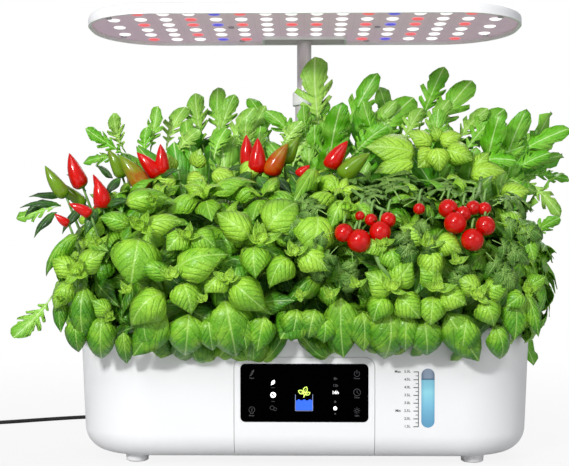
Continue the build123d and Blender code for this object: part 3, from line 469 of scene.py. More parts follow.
def lathe(name, profile, sides):
    """A closed turned form about Z from (radius, height) pairs that start and end on the axis."""
    points, faces, uvs = [], [], []
    for number, (radius, height) in enumerate(profile):
        along = number / (len(profile) - 1)
        if number in (0, len(profile) - 1):
            points.append((0, 0, height))
            uvs.append((0.0, along))
            continue
        for side in range(sides):
            turn = 2 * math.pi * side / sides
            points.append((radius * math.cos(turn), radius * math.sin(turn), height))
            uvs.append((side / sides, along))
    rings = len(profile) - 2
    last = len(points) - 1
    for side in range(sides):
        after = (side + 1) % sides
        faces.append((0, 1 + after, 1 + side))
        for ring in range(rings - 1):
            a, b = 1 + ring * sides, 1 + (ring + 1) * sides
            faces.append((a + side, a + after, b + after, b + side))
        base = 1 + (rings - 1) * sides
        faces.append((base + side, base + after, last))
    return mesh_of(name, points, faces, uvs)


# ---- Repeats by Geometry Nodes ----


def spread_tree(name):
    """Copies of a collection's shapes on points that carry turn, size and kind, as one mesh."""
    growth = Nodes(bpy.data.node_groups.new(name, "GeometryNodeTree"))
    for label, direction, kind in (
        ("Geometry", "INPUT", "Geometry"),
        ("Shapes", "INPUT", "Collection"),
        ("Overall size", "INPUT", "Float"),
        ("Finish", "INPUT", "Material"),
        ("Geometry", "OUTPUT", "Geometry"),
    ):
        growth.tree.interface.new_socket(label, in_out=direction, socket_type="NodeSocket" + kind)
    start = growth.tree.nodes.new("NodeGroupInput")
    end = growth.tree.nodes.new("NodeGroupOutput")

    def given(label):
        return Signal(growth, start.outputs[label])

    def named(attribute, kind):
        values = {"Name": attribute}
        return growth.node("GeometryNodeInputNamedAttribute", {"data_type": kind}, values, "Attribute")

    shapes = growth.node(
        "GeometryNodeCollectionInfo",
        {"transform_space": "ORIGINAL"},
        {"Collection": given("Shapes"), "Separate Children": True, "Reset Children": True},
    )
    size = growth.node(
        "ShaderNodeVectorMath",
        {"operation": "SCALE"},
        {"Vector": named("size", "FLOAT_VECTOR"), "Scale": given("Overall size")},
    )
    copies = growth.node(
        "GeometryNodeInstanceOnPoints",
        values={
            "Points": given("Geometry"),
            "Instance": shapes,
            "Pick Instance": True,
            "Instance Index": named("kind", "INT"),
            "Rotation": named("turn", "FLOAT_VECTOR"),
            "Scale": size,
        },
    )
    real = growth.node("GeometryNodeRealizeInstances", values={"Geometry": copies})
    coated = growth.node("GeometryNodeSetMaterial", values={"Geometry": real, "Material": given("Finish")})
    growth.join(end.inputs[0], coated)
    return growth.tree


def spread(name, tree, shapes, places, material):
    """A mesh of shapes at places, each (point, turn matrix, size, kind, shade)."""
    points, turns, sizes, kinds, shades = zip(*places)
    mesh = bpy.data.meshes.new(name)
    mesh.from_pydata([tuple(point) for point in points], [], [])
    for key, kind, field, values in (
        ("turn", "FLOAT_VECTOR", "vector", [tuple(turn.to_euler()) for turn in turns]),
        ("size", "FLOAT_VECTOR", "vector", [tuple(size) for size in sizes]),
        ("kind", "INT", "value", kinds),
        ("shade", "FLOAT", "value", shades),
    ):
        attribute = mesh.attributes.new(key, kind, "POINT")
        attribute.data.foreach_set(field, np.array(values, np.int32 if kind == "INT" else float).ravel())
    holder = linked(name, mesh)
    modifier = holder.modifiers.new("spread", "NODES")
    modifier.node_group = tree
    given = {"Shapes": shapes, "Overall size": 1.0, "Finish": material}
    for item in tree.interface.items_tree:
        if item.name in given:
            modifier[item.identifier] = given[item.name]
    made = baked(holder)
    bpy.data.meshes.remove(mesh)
    made.name = name
    return made


def shelf(name, meshes):
    """A collection of unit shapes, hidden from the scene, in the order given."""
    collection = bpy.data.collections.new(name)
    for number, mesh in enumerate(meshes):
        collection.objects.link(bpy.data.objects.new(f"{name}_{number:02d}", mesh))
    return collection


# ---- Leaves ----


def leaf_mesh(name, rows, dome=0.2, sag=0.1, groove=0.03, wave=0.0, fields=2, bend=0.0):
    """A leaf of unit length along +Y: rows are (half width, edge y, midrib y); it swells towards +Z."""
    points, faces, uvs = [], [], []
    columns = 2 * fields + 1
    for number, (half, edge_y, mid_y) in enumerate(rows):
        for column in range(columns):
            side = (column - fields) / fields
            share = abs(side)
            x = half * side
            y = mid_y + (edge_y - mid_y) * share
            inside = min(max(y, 0.0), 1.0)
            swell = dome * (1 - (2 * x) ** 2) * math.sin(math.pi * inside**0.85)
            ripple = wave * share * math.sin(number * 2.1 + (1.3 if side > 0 else 0.0))
            channel = groove * math.exp(-((x / 0.07) ** 2)) * math.sin(math.pi * inside)
            points.append((x + bend * y * y, y, swell - sag * y * y - channel + ripple))
            uvs.append((0.5 + x, y))
    for row in range(len(rows) - 1):
        for column in range(columns - 1):
            a = row * columns + column
            faces.append((a, a + 1, a + 1 + columns, a + columns))
    mesh = mesh_of(name, points, faces, uvs)
    shape = bmesh.new()
    shape.from_mesh(mesh)
    bmesh.ops.remove_doubles(shape, verts=shape.verts, dist=1e-5)
    bmesh.ops.dissolve_degenerate(shape, edges=shape.edges, dist=1e-5)
    shape.to_mesh(mesh)
    shape.free()
    return mesh


def outline_rows(widths, count):
    """Rows of a plain leaf from (along, share of the half width) pairs."""
    rows = []
    for number in range(count + 1):
        t = number / count
        for (t0, w0), (t1, w1) in zip(widths, widths[1:]):
            if t0 <= t <= t1:
                rows.append((0.5 * (w0 + (w1 - w0) * (t - t0) / (t1 - t0)), t, t))
                break
    return rows


BASIL_WIDTHS = [
    (0, 0.04), (0.06, 0.42), (0.16, 0.78), (0.28, 0.96), (0.38, 1.0), (0.5, 0.94), (0.64, 0.76),
    (0.78, 0.49), (0.9, 0.22), (1, 0.0),
]
PEPPER_WIDTHS = [
    (0, 0.05), (0.12, 0.45), (0.28, 0.86), (0.42, 1.0), (0.6, 0.84), (0.78, 0.48), (0.9, 0.2), (1, 0.0),
]
# Lobed leaves: half width, the lobe's y and the midrib's y at the same row
ARUGULA_ROWS = [
    (0.022, 0.00, 0.00), (0.026, 0.15, 0.15), (0.045, 0.19, 0.19), (0.200, 0.27, 0.21), (0.215, 0.30, 0.23),
    (0.150, 0.30, 0.25), (0.055, 0.27, 0.27), (0.065, 0.33, 0.32), (0.330, 0.45, 0.35), (0.380, 0.49, 0.37),
    (0.330, 0.52, 0.39), (0.120, 0.43, 0.42), (0.110, 0.47, 0.46), (0.400, 0.60, 0.49), (0.460, 0.65, 0.51),
    (0.410, 0.69, 0.53), (0.200, 0.60, 0.57), (0.230, 0.66, 0.64), (0.310, 0.72, 0.70), (0.300, 0.76, 0.75),
    (0.335, 0.82, 0.81), (0.290, 0.89, 0.88), (0.180, 0.96, 0.95), (0.000, 1.00, 1.00),
]
SERRATED_ROWS = [
    (0.02, 0.00, 0.00), (0.20, 0.10, 0.06), (0.44, 0.16, 0.12), (0.36, 0.24, 0.22), (0.50, 0.34, 0.30),
    (0.36, 0.42, 0.40), (0.44, 0.54, 0.49), (0.28, 0.60, 0.58), (0.34, 0.72, 0.67), (0.16, 0.78, 0.77),
    (0.18, 0.88, 0.85), (0.00, 1.00, 1.00),
]
# Leaflets of a tomato leaf: place along the stalk, turn in degrees, length
LEAFLETS = [(0.26, 64, 0.34), (0.28, -68, 0.32), (0.5, 50, 0.42), (0.53, -54, 0.42), (0.62, 0, 0.52)]
SMALL_LEAFLETS = [(0.4, 70, 0.13), (0.42, -70, 0.13)]


def joined(name, parts):
    """One mesh from (mesh, matrix) pairs."""
    shape = bmesh.new()
    for mesh, matrix in parts:
        copy = mesh.copy()
        copy.transform(matrix)
        shape.from_mesh(copy)
        bpy.data.meshes.remove(copy)
    made = bpy.data.meshes.new(name)
    shape.to_mesh(made)
    shape.free()
    return made


def compound_leaf(name, droop):
    """A tomato leaf: a thin stalk with serrated leaflets in pairs and one at its tip."""
    leaflet = leaf_mesh(name + "_leaflet", SERRATED_ROWS, 0.16, 0.22, 0.05, 0.04, fields=1)
    parts = []

    def add(along, turn, tilt, width, length):
        place = Matrix.Translation((0, along, -droop * along * along))
        place = place @ Matrix.Rotation(math.radians(turn), 4, "Z") @ Matrix.Rotation(tilt, 4, "X")
        parts.append((leaflet, place @ Matrix.Diagonal((length * width, length, length, 1))))

    for along, turn, length in LEAFLETS:
        add(along, turn, -0.25 - droop, 0.94, length)
    for along, turn, length in SMALL_LEAFLETS:
        add(along, turn, 0.0, 0.8, length)
    stalk_rows = [(0.007, t, t) for t in (0.0, 0.2, 0.4, 0.6, 0.7)]
    parts.append((leaf_mesh(name + "_stalk", stalk_rows, 0.0, droop, 0.0, fields=1), Matrix.Identity(4)))
    return joined(name, parts)


def leaf_shapes():
    """The shelves of unit leaves for each kind of plant."""
    basil = outline_rows(BASIL_WIDTHS, 9)
    pepper = outline_rows(PEPPER_WIDTHS, 8)
    lobed = ARUGULA_ROWS
    return {
        "basil": shelf("basil_shapes", [
            leaf_mesh("basil_round", basil, 0.30, 0.12, 0.035),
            leaf_mesh("basil_cupped", basil, 0.42, 0.20, 0.045),
            leaf_mesh("basil_flat", basil, 0.18, 0.05, 0.03, 0.01),
            leaf_mesh("basil_young", basil, -0.16, -0.10, 0.06),
        ]),
        "arugula": shelf("arugula_shapes", [
            leaf_mesh("arugula_upright", lobed, 0.05, 0.10, 0.02, 0.03, fields=1, bend=0.4),
            leaf_mesh("arugula_arched", lobed, 0.08, 0.30, 0.02, 0.035, fields=1, bend=-0.5),
            leaf_mesh("arugula_curled", lobed, -0.05, -0.12, -0.02, 0.04, fields=1, bend=0.6),
        ]),
        "pepper": shelf("pepper_shapes", [
            leaf_mesh("pepper_arched", pepper, 0.14, 0.25, 0.05),
            leaf_mesh("pepper_flat", pepper, 0.08, 0.08, 0.04, 0.01),
        ]),
        "tomato": shelf("tomato_shapes", [
            compound_leaf("tomato_spread", 0.15),
            compound_leaf("tomato_hung", 0.45),
        ]),
    }


def leaf_finish(name, colours, laterals, slant, gloss, quilt):
    """A living leaf: paler midrib, curved side veins with painted shade in their creases, swollen fields
    between them, and an uneven gloss.
    """
    deep, middle, young, vein = colours
    finish = Finish(name, coat_weight=gloss, coat_roughness=0.28, specular_ior_level=0.4)
    u, v, _ = finish.uv()
    shade = finish.shade()
    side = abs(u - 0.5)
    wander = finish.noise(60.0, 1.0) * 0.05
    ribs = ((v - side * slant - side * side * 1.5 + wander) * laterals).fraction()
    from_rib = abs(ribs - 0.5) * 2.0
    midrib = side.step(0.005, 0.028, 1.0, 0.0)
    crease_shade = from_rib.step(0.90, 1.0) * side.step(0.02, 0.06) * side.step(0.26, 0.44, 1.0, 0.0)
    net = finish.cells(330.0, feature="DISTANCE_TO_EDGE")
    mottle = finish.noise(80.0, 3.0)
    body = finish.ramp(shade, [(0.0, deep), (0.5, middle), (1.0, young)])
    body = finish.blend(mottle.step(0.42, 0.7) * 0.4, body, young)
    body = finish.blend(mottle.step(0.3, 0.5, 0.2, 0.0), body, deep)
    body = finish.blend(v.step(0.45, 1.0) * 0.45, body, deep)
    body = finish.blend(v.step(0.0, 0.45, 0.4, 0.0), body, young)
    # Painted shade in the creases along the side veins.
    body = finish.blend(crease_shade * (mottle.step(0.3, 0.6) * 0.17 + 0.04), body, deep)
    finish.set("Base Color", finish.blend(midrib * 0.6, body, vein))
    finish.set("Roughness", mottle * 0.2 + 0.28)
    fields = (1.0 - from_rib**4.0) * side.step(0.0, 0.10) * side.step(0.3, 0.5, 0.7, 0.2)
    finish.relief(fields + net.step(0.0, 0.3) * 0.3, quilt, 0.9)
    return finish.material


def underside(name, colour, vein):
    """The paler, duller back of a leaf."""
    finish = Finish(name, specular_ior_level=0.3)
    u, _, _ = finish.uv()
    midrib = abs(u - 0.5).step(0.006, 0.03, 1.0, 0.0)
    mottle = finish.noise(120.0, 3.0)
    body = finish.blend(mottle, colour, tuple(0.8 * part for part in colour))
    finish.set("Base Color", finish.blend(midrib * 0.6, body, vein))
    finish.set("Roughness", mottle * 0.15 + 0.55)
    finish.relief(mottle, 0.0004)
    return finish.material


LEAF_COLOURS = {  # deep, middle, young, vein and underside
    "basil": ("#236806", "#64b016", "#b4e444", "#bce27c", "#80b83e"),
    "arugula": ("#3f9606", "#74c81e", "#b4e266", "#dcf6ae", "#8ed048"),
    "pepper": ("#143408", "#2b6014", "#5a9c2c", "#79b050", "#588c3c"),
    "tomato": ("#2f6216", "#629636", "#a0c864", "#90ba60", "#7ea852"),
}
LEAF_FEEL = {  # number of side veins, their slant, gloss and the height of the quilting
    "basil": (5.0, 0.6, 0.24, 0.0011),
    "arugula": (6.0, 0.8, 0.06, 0.0005),
    "pepper": (6.0, 0.7, 0.2, 0.0005),
    "tomato": (5.0, 1.1, 0.0, 0.0012),
}


# ---- Where the leaves grow ----

# The pods' columns of each kind: basil in the front row and the others in the back row
PLANTS = {"basil": range(6), "arugula": (1, 3, 5), "pepper": (0, 2), "tomato": (4,)}
BASIL_Z = 0.160
SEED = 17
LEAF_THICKNESS = 0.0004
GOLDEN_TURN, GOLDEN_STEP = 0.381966, 0.618034
MAST_ROOM = 0.014  # from the mast's axis, for its tubes and bush


def stand(base, tip, face):
    """The rotation that runs a leaf from base towards tip with its upper side towards face."""
    along = (tip - base).normalized()
    up = (face - along * face.dot(along)).normalized()
    return Matrix((along.cross(up), along, up)).transposed()


def basil_front(x, z):
    """The y of the basil's front surface: straight in the middle, and rounded at its ends, top and bottom."""
    straight, rounded, back, bulge = 0.14, 0.118, -0.050, 0.090
    beyond = max(abs(x) - straight, 0.0) / rounded
    round_x = max(1.0 - beyond**2.4, 0.0) ** 0.42
    round_z = max(1.0 - abs((z - BASIL_Z) / 0.084) ** 2.6, 0.0) ** 0.385
    return back - bulge * round_x * round_z


def on_basil(px, py, lift=0.0):
    """The point of the basil's surface that the camera sees at px, py, lifted towards it."""
    depth = -0.12
    for _ in range(6):
        at = in_view(px, py, depth)
        depth = basil_front(at.x, at.z)
    return in_view(px, py, depth - lift)


class Bed:
    """The leaves of one plant kind, gathered by plant."""

    def __init__(self, rng):
        self.rng = rng
        self.leaves = {}

    def jitter(self, amount):
        return Vector([self.rng.uniform(-amount, amount) for _ in range(3)])

    def scatter(self, plant, base, tip, face, width, kinds, shades):
        """Adds a leaf of one of the kinds, in a shade between two."""
        self.add(plant, base, tip, face, width, self.rng.choice(kinds), self.rng.uniform(*shades))

    def add(self, plant, base, tip, face, width, kind, shade):
        base, tip = (Vector((at.x, max(at.y, FOREMOST), at.z)) for at in (base, tip))
        mast = Vector((0, MAST_Y))
        along = tip.xy - base.xy
        share = min(max((mast - base.xy).dot(along) / max(along.length_squared, 1e-9), 0.0), 1.0)
        if (base.xy + along * share - mast).length < MAST_ROOM + 0.35 * width:
            return
        length = (tip - base).length
        leaf = (base, stand(base, tip, face), Vector((width, length, length)), kind, shade)
        self.leaves.setdefault(plant, []).append(leaf)


def column_of(x):
    """The pod's column at x."""
    return min(max(int(math.floor(x / POD_PITCH + 3)), 0), 5)


def nearest(plants, x):
    """The plant among plants whose pod is nearest to x."""
    return min(plants, key=lambda plant: abs(POD_X[plant] - x))


# Basil leaves that hang in front: base, tip and width in the view's pixels
HANGING = [
    (84, 286, 82, 341, 27), (75, 318, 78, 354, 20), (101, 316, 101, 362, 27), (123, 332, 127, 365, 16),
    (166, 314, 132, 357, 30), (189, 314, 185, 358, 36), (225, 300, 237, 360, 42), (264, 316, 257, 352, 25),
    (298, 316, 280, 339, 30), (297, 309, 291, 342, 26), (315, 309, 308, 339, 27), (341, 298, 343, 359, 32),
    (389, 309, 385, 362, 38), (424, 320, 427, 357, 32), (446, 313, 479, 362, 32), (494, 324, 501, 361, 22),
    (514, 298, 514, 340, 25), (525, 294, 538, 337, 15), (60, 300, 60, 333, 14), (78, 234, 42, 275, 15),
    (146, 312, 150, 352, 24), (208, 318, 213, 352, 24), (362, 312, 364, 352, 26), (406, 314, 405, 352, 24),
    (466, 318, 461, 354, 26), (325, 316, 324, 344, 24), (240, 318, 247, 350, 22),
]
# Larger basil leaves of the upper rosettes
SPREADING = [
    (139, 238, 130, 286, 43), (176, 271, 228, 252, 36), (171, 277, 135, 261, 18), (182, 282, 192, 314, 28),
    (164, 293, 128, 325, 33), (232, 282, 266, 311, 30), (251, 237, 216, 212, 27), (255, 246, 255, 278, 27),
    (267, 230, 298, 200, 38), (144, 228, 184, 220, 22), (130, 225, 98, 216, 18), (317, 215, 313, 257, 40),
    (76, 275, 50, 256, 22), (72, 282, 52, 310, 20), (80, 268, 104, 252, 22), (125, 203, 170, 196, 22),
    (290, 258, 268, 286, 26), (300, 252, 330, 270, 28), (391, 293, 366, 272, 26), (393, 285, 412, 262, 26),
    (385, 296, 372, 322, 24), (398, 296, 420, 318, 26), (437, 284, 420, 262, 24), (441, 292, 466, 304, 26),
    (432, 296, 430, 326, 26), (477, 291, 458, 276, 20), (482, 300, 494, 326, 24), (484, 292, 508, 284, 22),
    (427, 240, 400, 226, 24), (430, 250, 432, 280, 24), (436, 240, 462, 252, 22), (520, 228, 500, 214, 20),
    (523, 236, 534, 262, 20), (346, 204, 330, 226, 22), (352, 206, 374, 222, 22), (313, 182, 296, 196, 20),
    (187, 233, 166, 250, 24), (194, 236, 216, 246, 26), (225, 276, 204, 292, 24), (383, 241, 362, 252, 22),
    (388, 248, 396, 272, 24), (527, 287, 545, 276, 16), (522, 294, 506, 306, 20), (109, 314, 92, 300, 18),
]
# Pale basil leaves behind the row: base, tip, width in the view's pixels, and depth
UPPER = [
    (416, 154, 366, 146, 34, -0.035), (414, 162, 374, 172, 24, -0.04), (432, 146, 408, 132, 20, -0.03),
    (440, 144, 462, 134, 20, -0.03), (434, 150, 418, 168, 22, -0.04), (446, 150, 474, 160, 24, -0.04),
    (436, 148, 440, 172, 24, -0.045), (438, 142, 434, 126, 16, -0.025), (470, 176, 506, 170, 26, -0.04),
    (474, 172, 488, 152, 20, -0.035), (462, 180, 446, 192, 22, -0.05), (252, 160, 246, 184, 20, -0.05),
    (306, 182, 276, 200, 22, -0.06), (312, 178, 340, 186, 26, -0.06), (204, 176, 186, 188, 22, -0.05),
    (212, 172, 236, 180, 22, -0.05), (176, 180, 150, 186, 22, -0.05), (196, 168, 200, 148, 18, -0.03),
    (172, 172, 166, 152, 16, -0.03), (500, 196, 530, 190, 22, -0.04),
]
# Young basil rosettes: centre and reach in the view's pixels
ROSETTES = [
    (140, 227, 14), (187, 237, 12), (76, 273, 14), (127, 291, 9), (173, 277, 14), (228, 280, 13),
    (260, 241, 16), (294, 254, 12), (109, 318, 7), (313, 184, 9), (346, 208, 11), (437, 289, 14),
    (391, 289, 14), (427, 245, 12), (477, 296, 12), (527, 291, 10), (520, 232, 10), (383, 244, 11),
    (152, 200, 8), (212, 262, 8), (330, 296, 9), (204, 300, 8), (356, 286, 9), (300, 296, 8), (456, 262, 9),
    (98, 244, 9), (60, 300, 7),
]
TOWARDS = Vector((0.0, -1.0, 0.35))


def grow_basil(bed):
    """The basil row: leaves and rosettes in view, a deep layer, and full rosettes over the whole mass."""
    fuller, pale_fuller, opened = 1.22, 1.1, 1.35  # times the widths and reaches in the lists
    # Besides random tone, the hanging leaves' darker shades are painted shade on the lower layer, and the
    # spreading leaves' paler shades painted light on the upper.
    for places, lift, kinds, shades in (
        (HANGING, 0.004, (0, 0, 2), (0.22, 0.46)),
        (SPREADING, 0.009, (0, 1, 0), (0.55, 0.9)),
    ):
        for bx, by, tx, ty, wide in places:
            base, tip = on_basil(bx, by, lift - 0.006), on_basil(tx, ty, lift + 0.001)
            face, width = TOWARDS + bed.jitter(0.2), fuller * across(wide, base.y)
            bed.scatter(column_of(base.x), base, tip, face, width, kinds, shades)
    for bx, by, tx, ty, wide, depth in UPPER:
        base, tip = in_view(bx, by, depth), in_view(tx, ty, depth - 0.006)
        face, width = TOWARDS + bed.jitter(0.3), pale_fuller * across(wide, base.y)
        bed.scatter(column_of(base.x), base, tip, face, width, (0, 0, 2), (0.84, 1.0))
    for cx, cy, reach in ROSETTES:
        centre = on_basil(cx, cy, 0.013)
        axis = (TOWARDS + Vector((0, 0, 0.5)) + bed.jitter(0.25)).normalized()
        rosette(bed, centre, axis, opened * reach / FOCAL_PX)
    # A deep layer of rosettes in front of the pods, dark as painted shade.
    for column in range(11):
        for level in range(5):
            x = -0.15 + 0.03 * column + bed.rng.uniform(-0.01, 0.01)
            centre = Vector((x, bed.rng.uniform(-0.075, -0.055), 0.125 + 0.022 * level))
            axis = Vector((bed.rng.uniform(-0.5, 0.5), -1.0, 0.3)).normalized()
            full_rosette(bed, centre, axis, 0.036, 0.1)
    cover_basil(bed)


def cover_basil(bed):
    """Full rosettes in rings over the basil's whole mass, apart from its back."""
    half_x, half_y, half_z, middle_y = 0.200, 0.072, 0.070, -0.060
    for ring in range(7):
        rise = -0.95 + ring * 0.31
        count = 26 if ring < 5 else 18
        for number in range(count):
            turn = 2 * math.pi * (number + 0.5 * (ring % 2) + bed.rng.uniform(-0.25, 0.25)) / count
            flat = math.cos(math.asin(max(min(rise * 0.9, 1), -1)))
            x = half_x * math.copysign(abs(math.cos(turn)) ** 0.75, math.cos(turn)) * (0.55 + 0.45 * flat)
            y = middle_y + half_y * math.sin(turn) * (0.35 + 0.65 * flat)
            if y > -0.004:
                continue
            outward = Vector((x / half_x * 0.9, (y - middle_y) / half_y, rise * 0.9 + 0.25)).normalized()
            front = y < -0.07 and abs(x) < 0.17
            centre = Vector((x, y + (0.016 if front else 0.0), BASIL_Z + half_z * rise)) + bed.jitter(0.006)
            length = bed.rng.uniform(0.030, 0.040)
            # The front rosettes are dark as painted shade and grow paler with height as painted light from
            # above.
            shade = bed.rng.uniform(*((0.04, 0.36) if front else (0.4, 0.75)))
            if front:
                shade += 0.5 * max(rise, 0.0)
            full_rosette(bed, centre, outward, length, shade)


def around(axis, turn):
    """The direction at a turn about an axis."""
    side = axis.orthogonal().normalized()
    return side * math.cos(turn) + axis.cross(side) * math.sin(turn)


def rosette(bed, centre, axis, reach):
    """Young leaves that open round a growing tip."""
    start = bed.rng.uniform(0, math.pi)
    for number in range(6):
        out = around(axis, start + number * math.pi / 2 + (math.pi / 4 if number > 3 else 0))
        direction = (out * (0.95 - 0.12 * number) + axis * (0.35 + 0.12 * number)).normalized()
        tip = centre + direction * reach * (1.0 - 0.1 * number)
        shade = 0.78 + 0.04 * number
        bed.add(column_of(centre.x), centre, tip, axis - out * 0.2, reach * 0.5, 3, shade)


def full_rosette(bed, centre, axis, length, shade):
    """A shoot's pairs of leaves, the outer ones large and hanging."""
    start = bed.rng.uniform(0, math.pi)
    lowest = 0.120 if centre.y < -0.06 else 0.094
    for number in range(7):
        inner = number > 3
        out = around(axis, start + number * math.pi / 2 + (math.pi / 4 if inner else 0))
        reach = length * (0.55 if inner else 1.0) * bed.rng.uniform(0.85, 1.15)
        droop = Vector((0, 0, 0.1 if inner else -0.25))
        direction = (out + axis * (0.8 if inner else 0.25) + droop).normalized()
        base = centre + direction * 0.003
        direction.z = max(direction.z, (lowest - base.z) / reach)
        face = axis + Vector((0, 0, 0.3)) + out * (-0.3 if inner else 0.2)
        width, kind = reach * bed.rng.uniform(0.54, 0.66), bed.rng.choice((0, 1, 2))
        tip = base + direction * reach
        bed.add(column_of(centre.x), base, tip, face, width, kind, shade + (0.25 if inner else 0.0))


# Arugula leaves: base, tip and width in pixels, and depth in metres
ARUGULA = [
    (125, 152, 104, 118, 22, 0.03), (128, 156, 84, 134, 20, 0.02), (130, 160, 82, 149, 16, 0.02),
    (166, 150, 172, 104, 30, 0.04), (150, 152, 160, 112, 22, 0.03), (204, 152, 186, 93, 30, 0.05),
    (224, 146, 206, 88, 28, 0.06), (216, 150, 225, 92, 26, 0.04), (228, 160, 241, 104, 30, 0.02),
    (246, 152, 262, 112, 22, 0.05), (277, 142, 287, 71, 26, 0.06), (270, 146, 262, 92, 24, 0.05),
    (322, 142, 301, 59, 46, 0.03), (318, 146, 338, 92, 28, 0.05), (343, 150, 364, 69, 30, 0.05),
    (336, 156, 330, 110, 28, 0.02), (366, 158, 400, 88, 40, 0.03), (362, 152, 386, 96, 24, 0.05),
    (418, 132, 436, 60, 30, 0.06), (427, 150, 458, 73, 38, 0.05), (424, 146, 440, 96, 26, 0.03),
    (461, 158, 495, 101, 32, 0.04), (454, 150, 477, 103, 26, 0.06), (498, 168, 562, 118, 28, 0.03),
    (490, 162, 532, 128, 22, 0.05), (486, 172, 560, 158, 18, 0.06), (505, 176, 545, 146, 20, 0.02),
    (520, 178, 566, 208, 22, 0.03), (404, 152, 372, 88, 28, 0.07), (300, 150, 318, 96, 26, 0.025),
    (196, 158, 176, 122, 24, 0.02), (350, 160, 376, 120, 30, 0.01), (60, 205, 14, 222, 20, 0.00),
    (52, 296, 22, 342, 30, -0.02), (524, 240, 552, 214, 20, 0.0), (528, 262, 553, 288, 20, -0.01),
    (520, 176, 569, 172, 16, 0.05), (500, 176, 540, 196, 20, 0.0), (480, 168, 520, 138, 22, 0.02),
    (300, 148, 282, 108, 26, 0.02), (282, 152, 292, 118, 24, 0.0), (380, 150, 358, 108, 26, 0.02),
    (402, 148, 414, 104, 26, 0.03), (176, 156, 190, 124, 24, 0.0), (300, 176, 288, 120, 30, 0.012),
    (312, 178, 320, 116, 32, 0.012), (292, 170, 303, 124, 26, 0.005), (320, 172, 306, 130, 28, 0.01),
    (304, 164, 328, 126, 26, 0.012), (314, 184, 300, 148, 28, 0.0), (296, 186, 318, 154, 28, -0.005),
    (308, 150, 298, 108, 24, 0.012), (262, 156, 252, 128, 22, 0.0), (214, 160, 216, 126, 26, -0.01),
    (146, 160, 138, 128, 20, 0.02), (336, 150, 348, 112, 26, 0.01), (440, 160, 428, 112, 28, 0.02),
    (382, 160, 396, 124, 30, 0.00), (250, 160, 236, 122, 26, 0.0), (470, 164, 512, 150, 26, 0.0),
]
ARUGULA_TOP = 0.369  # below the lamp at its lowest


def grow_arugula(bed):
    """Tall lobed leaves: those in view by their places, and a fountain of them at each pod."""
    for bx, by, tx, ty, wide, depth in ARUGULA:
        base = in_view(bx, by, depth)
        tip = in_view(tx, ty, depth + bed.rng.uniform(-0.025, 0.015))
        tip.z = min(tip.z, ARUGULA_TOP)
        face = Vector((bed.rng.uniform(-0.4, 0.4), -1.0, 0.35 + bed.rng.uniform(-0.1, 0.3)))
        plant = nearest(PLANTS["arugula"], base.x)
        bed.scatter(plant, base, tip, face, across(wide, base.y), (0, 0, 1), (0.45, 0.95))
    for plant, tall in ((1, 0.20), (3, 0.215), (5, 0.20)):
        for number in range(60):
            fountain_leaf(bed, plant, tall, number)


def fountain_leaf(bed, plant, tall, number):
    """One leaf of the fountain at an arugula pod; those that would pass the bed's edges are left out."""
    turn = 2 * math.pi * (number * GOLDEN_TURN + bed.rng.uniform(-0.03, 0.03))
    lean = bed.rng.uniform(0.12, 1.15)
    out = Vector((math.cos(turn), math.sin(turn), 0))
    if plant == 5 and out.x > 0.1:
        out.x *= 1.5
    forward = out.y < -0.1
    if forward:
        lean *= 0.45
    length = bed.rng.uniform(0.065, 0.1) * (1.15 - 0.2 * lean)
    height = 0.02 + bed.rng.uniform(0.0, tall * 0.35) * (1.3 - lean)
    start = Vector((POD_X[plant], 0.035, 0.125)) + out * (0.02 + 0.045 * lean) + Vector((0, 0, height))
    rise = math.cos(lean) - 0.25 * max(lean - 0.7, 0)
    tip = start + (out * math.sin(lean) + Vector((0, 0, rise))).normalized() * length
    tip.z = min(tip.z, bed.rng.uniform(0.85, 1.0) * (0.335 if plant == 1 else 0.352))
    beyond = abs(tip.x) > (0.222 if tip.y < 0.05 else 0.245) or not -0.05 <= tip.y <= 0.143
    if beyond or (abs(tip.x) > 0.21 and tip.z < 0.16):
        return
    face = -out * 0.7 * math.cos(lean) + Vector((0, 0, math.sin(lean) + 0.25))
    if forward:
        face = Vector((bed.rng.uniform(-0.6, 0.6), -1.0, 0.5))
    elif bed.rng.random() < 0.4:
        face = -face
    bed.scatter(plant, start, tip, face, length * bed.rng.uniform(0.28, 0.38), (0, 1, 1, 2), (0.1, 0.9))


# Dark pepper leaves in view: base, tip, width in pixels, and depth
PEPPER_LEAVES = [
    (64, 196, 28, 194, 11, -0.06), (60, 206, 20, 200, 11, -0.07), (56, 212, 30, 232, 13, -0.09),
    (84, 206, 58, 228, 14, -0.10), (84, 188, 70, 172, 12, -0.05), (104, 206, 126, 196, 14, -0.09),
    (96, 208, 84, 232, 14, -0.11), (112, 178, 96, 164, 13, -0.04), (146, 190, 168, 184, 14, -0.06),
    (140, 190, 122, 204, 14, -0.08), (158, 178, 176, 166, 12, -0.05), (120, 178, 104, 192, 12, -0.07),
    (252, 172, 232, 186, 15, -0.06), (258, 176, 270, 196, 15, -0.08), (272, 178, 292, 190, 15, -0.07),
    (284, 166, 304, 176, 13, -0.05), (248, 168, 228, 166, 13, -0.04), (330, 172, 312, 186, 14, -0.06),
    (338, 180, 352, 196, 15, -0.07), (344, 176, 364, 172, 13, -0.05), (276, 168, 280, 150, 11, -0.03),
    (150, 176, 150, 160, 10, -0.03), (330, 168, 322, 150, 11, -0.03), (46, 200, 22, 212, 12, -0.06),
    (232, 178, 214, 190, 13, -0.07), (210, 186, 196, 200, 12, -0.08),
]
